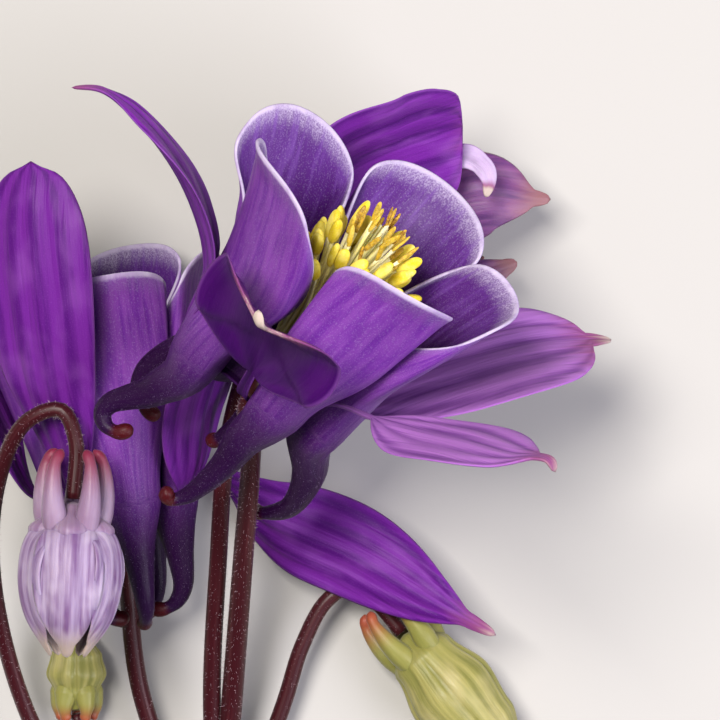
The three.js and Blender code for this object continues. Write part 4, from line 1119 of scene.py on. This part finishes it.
# %% Closed bud and half-open bloom
def closed_bud(name, stand, material, *replaced, length, radius, spur):
    """Five sepals shut edge to edge: a drop with a fine groove where each two meet."""
    def grooves(z, turn):
        from_seam = (turn / (2 * math.pi) * 5 + 0.5) % 1 - 0.5
        seam = np.exp(-(from_seam / 0.055) ** 2) + 0.35 * np.exp(-((np.abs(from_seam) - 0.5) / 0.1) ** 2)
        return 1 - smooth(z, 0, length * 0.2) * 0.08 * seam, turn

    skin = Skin(name)
    bud_body(skin, stand, length, radius, 60, length,
             [(length * 0.1, radius * 0.75), (length * 0.35, radius), (length * 0.6, radius * 0.86),
              (length * 0.84, radius * 0.5), (length, 0)], grooves)
    bud_spurs(skin, stand, radius, spur)
    skin.piece(material, "bud", *replaced)


def half_open(name, stand, material, slot, *replaced, length, radius, spur, flare, spin=0, cover=0.58, opened=()):
    """Sepals standing round petals that are still rolled up. `opened` are those that have let go."""
    def rolled(z, turn):
        twisted = turn + 0.5 * smooth(z, length * 0.3, length * 0.9)
        return 1 + 0.1 * np.cos(5 * twisted), twisted

    skin = Skin(name)
    bud_body(skin, stand, length, radius, 50, length * 0.9,
             [(length * 0.1, radius * 0.78), (length * 0.4, radius * 0.7), (length * 0.7, radius * 0.5),
              (length * 0.9, 0.4)], rolled)
    shut = dict(half_width=radius * cover, outline=(0.55, 0.6), fold=[(0, 24), (1, 24)],
                spine=[(radius * 0.84, 0, length * 0.14), (radius, 0, length * 0.4), (radius * 0.86, 0, length * 0.7),
                       (radius * (0.25 + flare), 0, length)])
    shapes = [(72 * n + spin, shut) for n in range(5 - len(opened))] + list(opened)
    for n, (at_degrees, shape) in enumerate(shapes):
        at, width, reach = sepal_surface(
            foot=[(1, 0, -0.4)], claw=0, ridges=7, ridge_height=0.05, edge_wave=0.15, phase=n, **shape)
        grid, u, v, _ = sheet(at, 70, 36, SEPAL_WALL)
        skin.grid(stand.place(grid, at_degrees), along=u,
                  flow=xyz((2 * v - 1) * width(u), 0, u * reach + COVER_SHIFT * n))
    bud_spurs(skin, stand, radius, spur)
    skin.piece(material, slot, *replaced)


# %% Two half-open blooms and two buds
BACK_OPENED = [
    (-45, dict(half_width=4.5, outline=(0.85, 0.75), twist=[(0, 45), (1, 45)], fold=[(0, 8), (1, 8)],
               spine=[(3.4, 0, 2), (5.8, -0.3, 6), (6.4, 0, 11), (5, 0.2, 14.5), (4.2, 0.2, 16.6)])),
    (55, dict(half_width=1.9, outline=(0.7, 0.6), twist=[(0, -55), (1, -55)], fold=[(0, 10), (1, 10)],
              spine=[(3.2, 0, 2), (4, 0, 6), (3.6, 0, 9.8), (2.9, 0, 12.4)])),
]
half_open("half_open_flower", back_bloom, purple_bud, "sepal", "half_open_bloom", length=9.5, radius=4.2, spur=8,
          flare=0.12, spin=125, opened=BACK_OPENED)
half_open("young_flower", young_bloom, lilac_bud, "young_petal", "young_bloom", length=13, radius=4.8, spur=6,
          flare=0.08, cover=0.74)
closed_bud("bent_over_bud", nodding_bud, olive_bud, "nodding_bud", length=17, radius=4.4, spur=5)
closed_bud("tiny_bud", small_bud, olive_bud, "small_bud", length=6.8, radius=2.9, spur=2)

# %% [markdown]
# ## Stems
#
# The stems are round, dark red where the sun reached them and browner where it didn't, and covered in
# short pale hairs. Each is a tube along the same line as its solid. Hairs are set by a tree that scatters
# points over a skin and stands a thin cone on each, leaning at random.

# %% Stem and hair materials
def stem_material():
    """Dark red skin with long streaks. `sunny` is 1 on the upper side."""
    t = Tissue("columbine_stem_dark_red", 0.4, ("flow", "sunny"), scatter=0.08, spread_mm=(0.8, 0.3, 0.2),
               sheen=0.08, specular=0.3)
    flow, sunny = t.carried
    streaks = t.pattern(3, (2.5, 2.5, 0.08), flow)
    patches = t.pattern(2, (0.5, 0.5, 0.12), flow, (3, 8, 2))
    colour = t.coated(
        "#260d0a",
        ("#30040c", (t.drifting(sunny, patches, 1.2), 0.2, 0.8)),
        ("#4c2226", (streaks, 0.45, 0.7, 0, 0.4)))
    return t.done(colour, (streaks, 0.1, 0.6))


def hair_material(name, dark, light):
    """Clear hairs that catch the light."""
    t = Tissue(name, 0.5, scatter=0.0, sheen=0.2)
    return t.done(t.coated(dark, (light, t.pattern(1, 0.9))))


stem_skin = stem_material()
stem_hair = hair_material("short_pale_stem_hair", "#7d5f68", "#b8a2aa")
spur_hair = hair_material("short_violet_spur_hair", "#4c3362", "#8a729c")

# %% Stem tubes
STEM_R, STEM_FLAT, PEDICEL_R, STALK_R = 1.25, 0.15, 0.9, 0.7
BLOOM_FOOT, RING_SPACING = 1.6, 0.6
STEM_SHIFT = 80               # mm between the patterns of one stem and the next
# Each stem is the points of its line and its radius at shares of its length.
STEM_LINES = {
    "main": ([(3.5, -27, 1.5), (1.2, -13, 1.2), (0, 0, STEM_R - STEM_FLAT), (-1, 10, 1.3), (-1, 20, 3.4),
              (0.03, 31.3, 7.5), (1.25, 44.4, 15.8), (2.2, 54.3, 24.2), main_bloom.behind(2),
              main_bloom.behind(0.2)],
             [(0, 1.6), (0.3, STEM_R), (0.55, 1.05), (0.9, PEDICEL_R), (1, 1.1)]),
    "half_open": ([(-1, 13, 1.6), (-1.6, 20, 3.2), (-1.95, 31.1, 7), (-1.15, 44.3, 13), (-0.3, 54.6, 16),
                   (1.2, 61.5, 13.5), (3, 67, 9), (5.8, 70.3, 5.6), (9.5, 71.3, 5),
                   back_bloom.behind(BUD_FOOT + GAP)],
                  [(0, 0.9), (1, 0.75)]),
    "second": ([(-1, 10, 1.3), (-5, 20, 2.6), (-8.9, 31.4, 4), (-9.9, 41, 6.8),
                left_bloom.behind(BLOOM_FOOT + GAP)],
               [(0, 0.9), (1, 0.85)]),
    "young": ([(-1, 8, 1.2), (-9, 14, 2), (-18, 26, 6), (-22, 40, 12), (-21.5, 51, 18.5), (-18.5, 57.3, 22),
               (-15.2, 58.4, 22.8), (-13.9, 55.5, 22.6), young_bloom.behind(BUD_FOOT + GAP)],
              [(0, 0.85), (1, STALK_R)]),
    "nodding": ([(-1, 11, 1.4), (2, 22, 2.2), (4.97, 30.4, 3.2), (6.6, 35.6, 4), (9, 40, 4.6),
                 (11.6, 41.4, 4.6), (13.6, 39.9, 4.4), nodding_bud.behind(BUD_FOOT + GAP)],
                [(0, 0.85), (1, STALK_R)]),
    "small": ([(-0.5, 4, 1.2), (-8, 12, 1.3), (-13.5, 22, 2), small_bud.behind(BUD_FOOT + GAP)],
              [(0, 0.8), (1, 0.55)]),
}
KNUCKLE = [(0, -1.2), (1.1, -1), (RECEPTACLE_R, -0.2), (1.2, 0.9), (0, RECEPTACLE_R)]

stems = Skin("hairy_stems")
for number, (points, radius) in enumerate(STEM_LINES.values()):
    line = Line(points)
    grid, turn, length = tube(line, straight(radius), int(line.length / RING_SPACING), 22)
    heights = grid[..., 2] - grid[..., 2].mean(axis=1, keepdims=True)
    stems.grid(grid, flow=xyz(np.cos(turn), np.sin(turn), length + STEM_SHIFT * number),
               sunny=np.clip(0.5 + heights * 0.7, 0, 1), hairy=1)
stems.grid(turned_solid(main_bloom, KNUCKLE), flow=0, sunny=0.5, hairy=0)
stem_piece = stems.piece(stem_skin, "stem", "stem")

# %% Hairs
def hairs_tree():
    tree, given = geometry_tree("short_hairs", Density="Float", Length="Float", Thickness="Float", Seed="Int",
                                Material="Material")
    hairy = add(tree, "GeometryNodeInputNamedAttribute", {"Name": "hairy"}, data_type="FLOAT")
    density = out(add(tree, "ShaderNodeMath", {0: given["Density"], 1: out(hairy)}, operation="MULTIPLY"))
    roots = add(tree, "GeometryNodeDistributePointsOnFaces", {
        "Mesh": given["Mesh"], "Density": density, "Seed": given["Seed"]}, distribute_method="RANDOM")
    hair = add(tree, "GeometryNodeMeshCone", {
        "Vertices": 3, "Radius Top": 0.0, "Radius Bottom": given["Thickness"], "Depth": given["Length"]},
        fill_type="NONE")
    lean = out(add(tree, "FunctionNodeRandomValue", {
        "Min": (-0.55, -0.55, 0.0), "Max": (0.55, 0.55, 6.28), "Seed": 3}, data_type="FLOAT_VECTOR"))
    size = add(tree, "FunctionNodeRandomValue", {"Min": 0.5, "Max": 1.15, "Seed": 7}, data_type="FLOAT")
    standing = add(tree, "GeometryNodeInstanceOnPoints", {
        "Points": out(roots, "Points"), "Instance": out(hair, "Mesh"),
        "Rotation": turned_by(tree, out(roots, "Rotation"), lean), "Scale": out(size)})
    return close_tree(tree, out(standing), given)


def add_hairs(name, source, slot, hair, per_square_mm, length_mm, thickness_mm, seed):
    plant_piece(grown(name, source, short_hairs, Density=per_square_mm / MM ** 2, Length=length_mm * MM,
                      Thickness=thickness_mm * MM, Seed=seed, Material=hair), slot)


short_hairs = hairs_tree()
add_hairs("stem_hairs", stem_piece, "stem", stem_hair, per_square_mm=4.5, length_mm=0.3, thickness_mm=0.018,
          seed=11)
for number, petal in enumerate(main_petals, 1):
    add_hairs(f"spur_hairs_{number}", petal, "petal", spur_hair, per_square_mm=5, length_mm=0.2,
              thickness_mm=0.012, seed=20 + number)
add_hairs("second_bloom_spur_hairs", left_petal_piece, "petal", spur_hair, per_square_mm=4, length_mm=0.2,
          thickness_mm=0.013, seed=31)

# %% [markdown]
# ## Leaves
#
# A columbine leaf has three fan-shaped leaflets, each cut into three round-toothed lobes. The blade is
# thin, grey-green and matt, with veins that fork into the lobes. The outline is a wave in polar form, the
# blade lies almost flat and dips between its lobes, and the veins are sunk into the skin.

# %% Leaf material
def leaf_material():
    """Grey-green and matt, with pale veins and a reddish rim."""
    t = Tissue("columbine_leaf_grey_green", 0.6, ("flow", "vein", "reach"), scatter=0.1,
               spread_mm=(0.3, 0.6, 0.1), specular=0.3)
    flow, vein, out_share = t.carried
    fine = t.pattern(2, (3.5, 3.5, 3.5), flow)
    colour = t.coated(
        "#4f6b3c",
        ("#6d8751", (t.pattern(3, (0.35, 0.35, 0.35), flow), 0.35, 0.68)),
        ("#86996b", (fine, 0.5, 0.7, 0, 0.35)),
        ("#a3b07f", (vein, 0.3, 1, 0, 0.7)),
        ("#6e4a52", (out_share, 0.96, 1, 0, 0.6)))
    return t.done(colour, (fine, 0.1, 0.6))


leaf_skin = leaf_material()

# %% One leaflet
LOBE_STEP, LEAFLET_HALF_ANGLE, BLADE_REST, LEAF_WALL = 38, 54, 0.35, 0.36


def leaflet_vein(degrees, v):
    """1 on a vein of a leaflet and 0 between them, at an angle and a share of the way out."""
    from_middle = np.abs((degrees / LOBE_STEP + 0.5) % 1 - 0.5) * LOBE_STEP
    main = from_middle * (0.15 + v)
    forks = np.abs(from_middle - 12.7 * smooth(v, 0.35, 1)) * v
    return np.maximum(np.exp(-(main / 0.8) ** 2), 0.7 * np.exp(-(forks / 0.55) ** 2) * smooth(v, 0.35, 0.5))


def add_leaflet(skin, size, arch, turn, end, place):
    def degrees(u):
        return lerp(-LEAFLET_HALF_ANGLE, LEAFLET_HALF_ANGLE, u)

    def at(u, v):
        angle = np.radians(degrees(u))
        lobes = np.cos(2 * math.pi * degrees(u) / LOBE_STEP)
        teeth = np.cos(6 * math.pi * degrees(u) / LOBE_STEP)
        edge = size * (0.78 + 0.15 * lobes + 0.05 * teeth) * (1 - 0.12 * (u * 2 - 1) ** 2)
        far = lerp(0.1, 1, v)
        height = arch * np.sin(math.pi * np.minimum(1, far * 0.9)) + 0.9 * lobes * far ** 2
        height = np.maximum(0, height) - 0.12 * leaflet_vein(degrees(u), v) + 0.05 * np.sin(9 * angle + 14 * far)
        x, y = turned(edge * far * np.cos(angle), edge * far * np.sin(angle), turn)
        return place(xyz(x + end[0], y + end[1], BLADE_REST + height))

    grid, u, v, _ = sheet(at, 150, 60, LEAF_WALL)
    skin.grid(grid, flow=grid, vein=leaflet_vein(degrees(u), v), reach=v)


print("a leaflet spans", 2 * LEAFLET_HALF_ANGLE, "degrees, with a lobe every", LOBE_STEP)

# %% Two leaves
SIDE_LEAFLET_TURN, HUB_HEIGHT, LEAFLET_FOOT_HEIGHT = 82, 0.8, 1.3


def leaf(name, *replaced, at_xy, heading, stalk, size, arch):
    def place(points):
        x, y = turned(points[..., 0], points[..., 1], heading)
        return xyz(x + at_xy[0], y + at_xy[1], points[..., 2])

    skin = Skin(name)
    hub = np.array([stalk, 0, HUB_HEIGHT])
    lines = [([(0, 0, 0.9), (stalk * 0.5, 0.6, HUB_HEIGHT), hub], [(0, 0.7), (1, 0.7)])]
    for turn in (-SIDE_LEAFLET_TURN, 0, SIDE_LEAFLET_TURN):
        way = np.array([*turned(1, 0, turn), 0])
        end = hub + way * size * (0.34 if turn == 0 else 0.2)
        inside = end + way * size * 0.16
        inside[2] = LEAFLET_FOOT_HEIGHT
        lines.append(([hub - way * 0.3, inside], [(0, 0.6), (1, 0.42)]))
        add_leaflet(skin, size, arch, turn, end, place)
    for points, radius in lines:
        grid = place(tube(Line(points), straight(radius), 30, 14)[0])
        skin.grid(grid, flow=grid, vein=0.6, reach=0.5)
    skin.piece(leaf_skin, "leaf", *replaced)


leaf("three_part_leaf_left", "leaf_left", at_xy=(-0.5, -12), heading=186, stalk=13, size=20, arch=2.2)
leaf("three_part_leaf_right", "leaf_right", at_xy=(1.3, 2.6), heading=-4, stalk=11, size=18, arch=2.0)

# %% Remove the pouch shape
bpy.data.objects.remove(pouch)
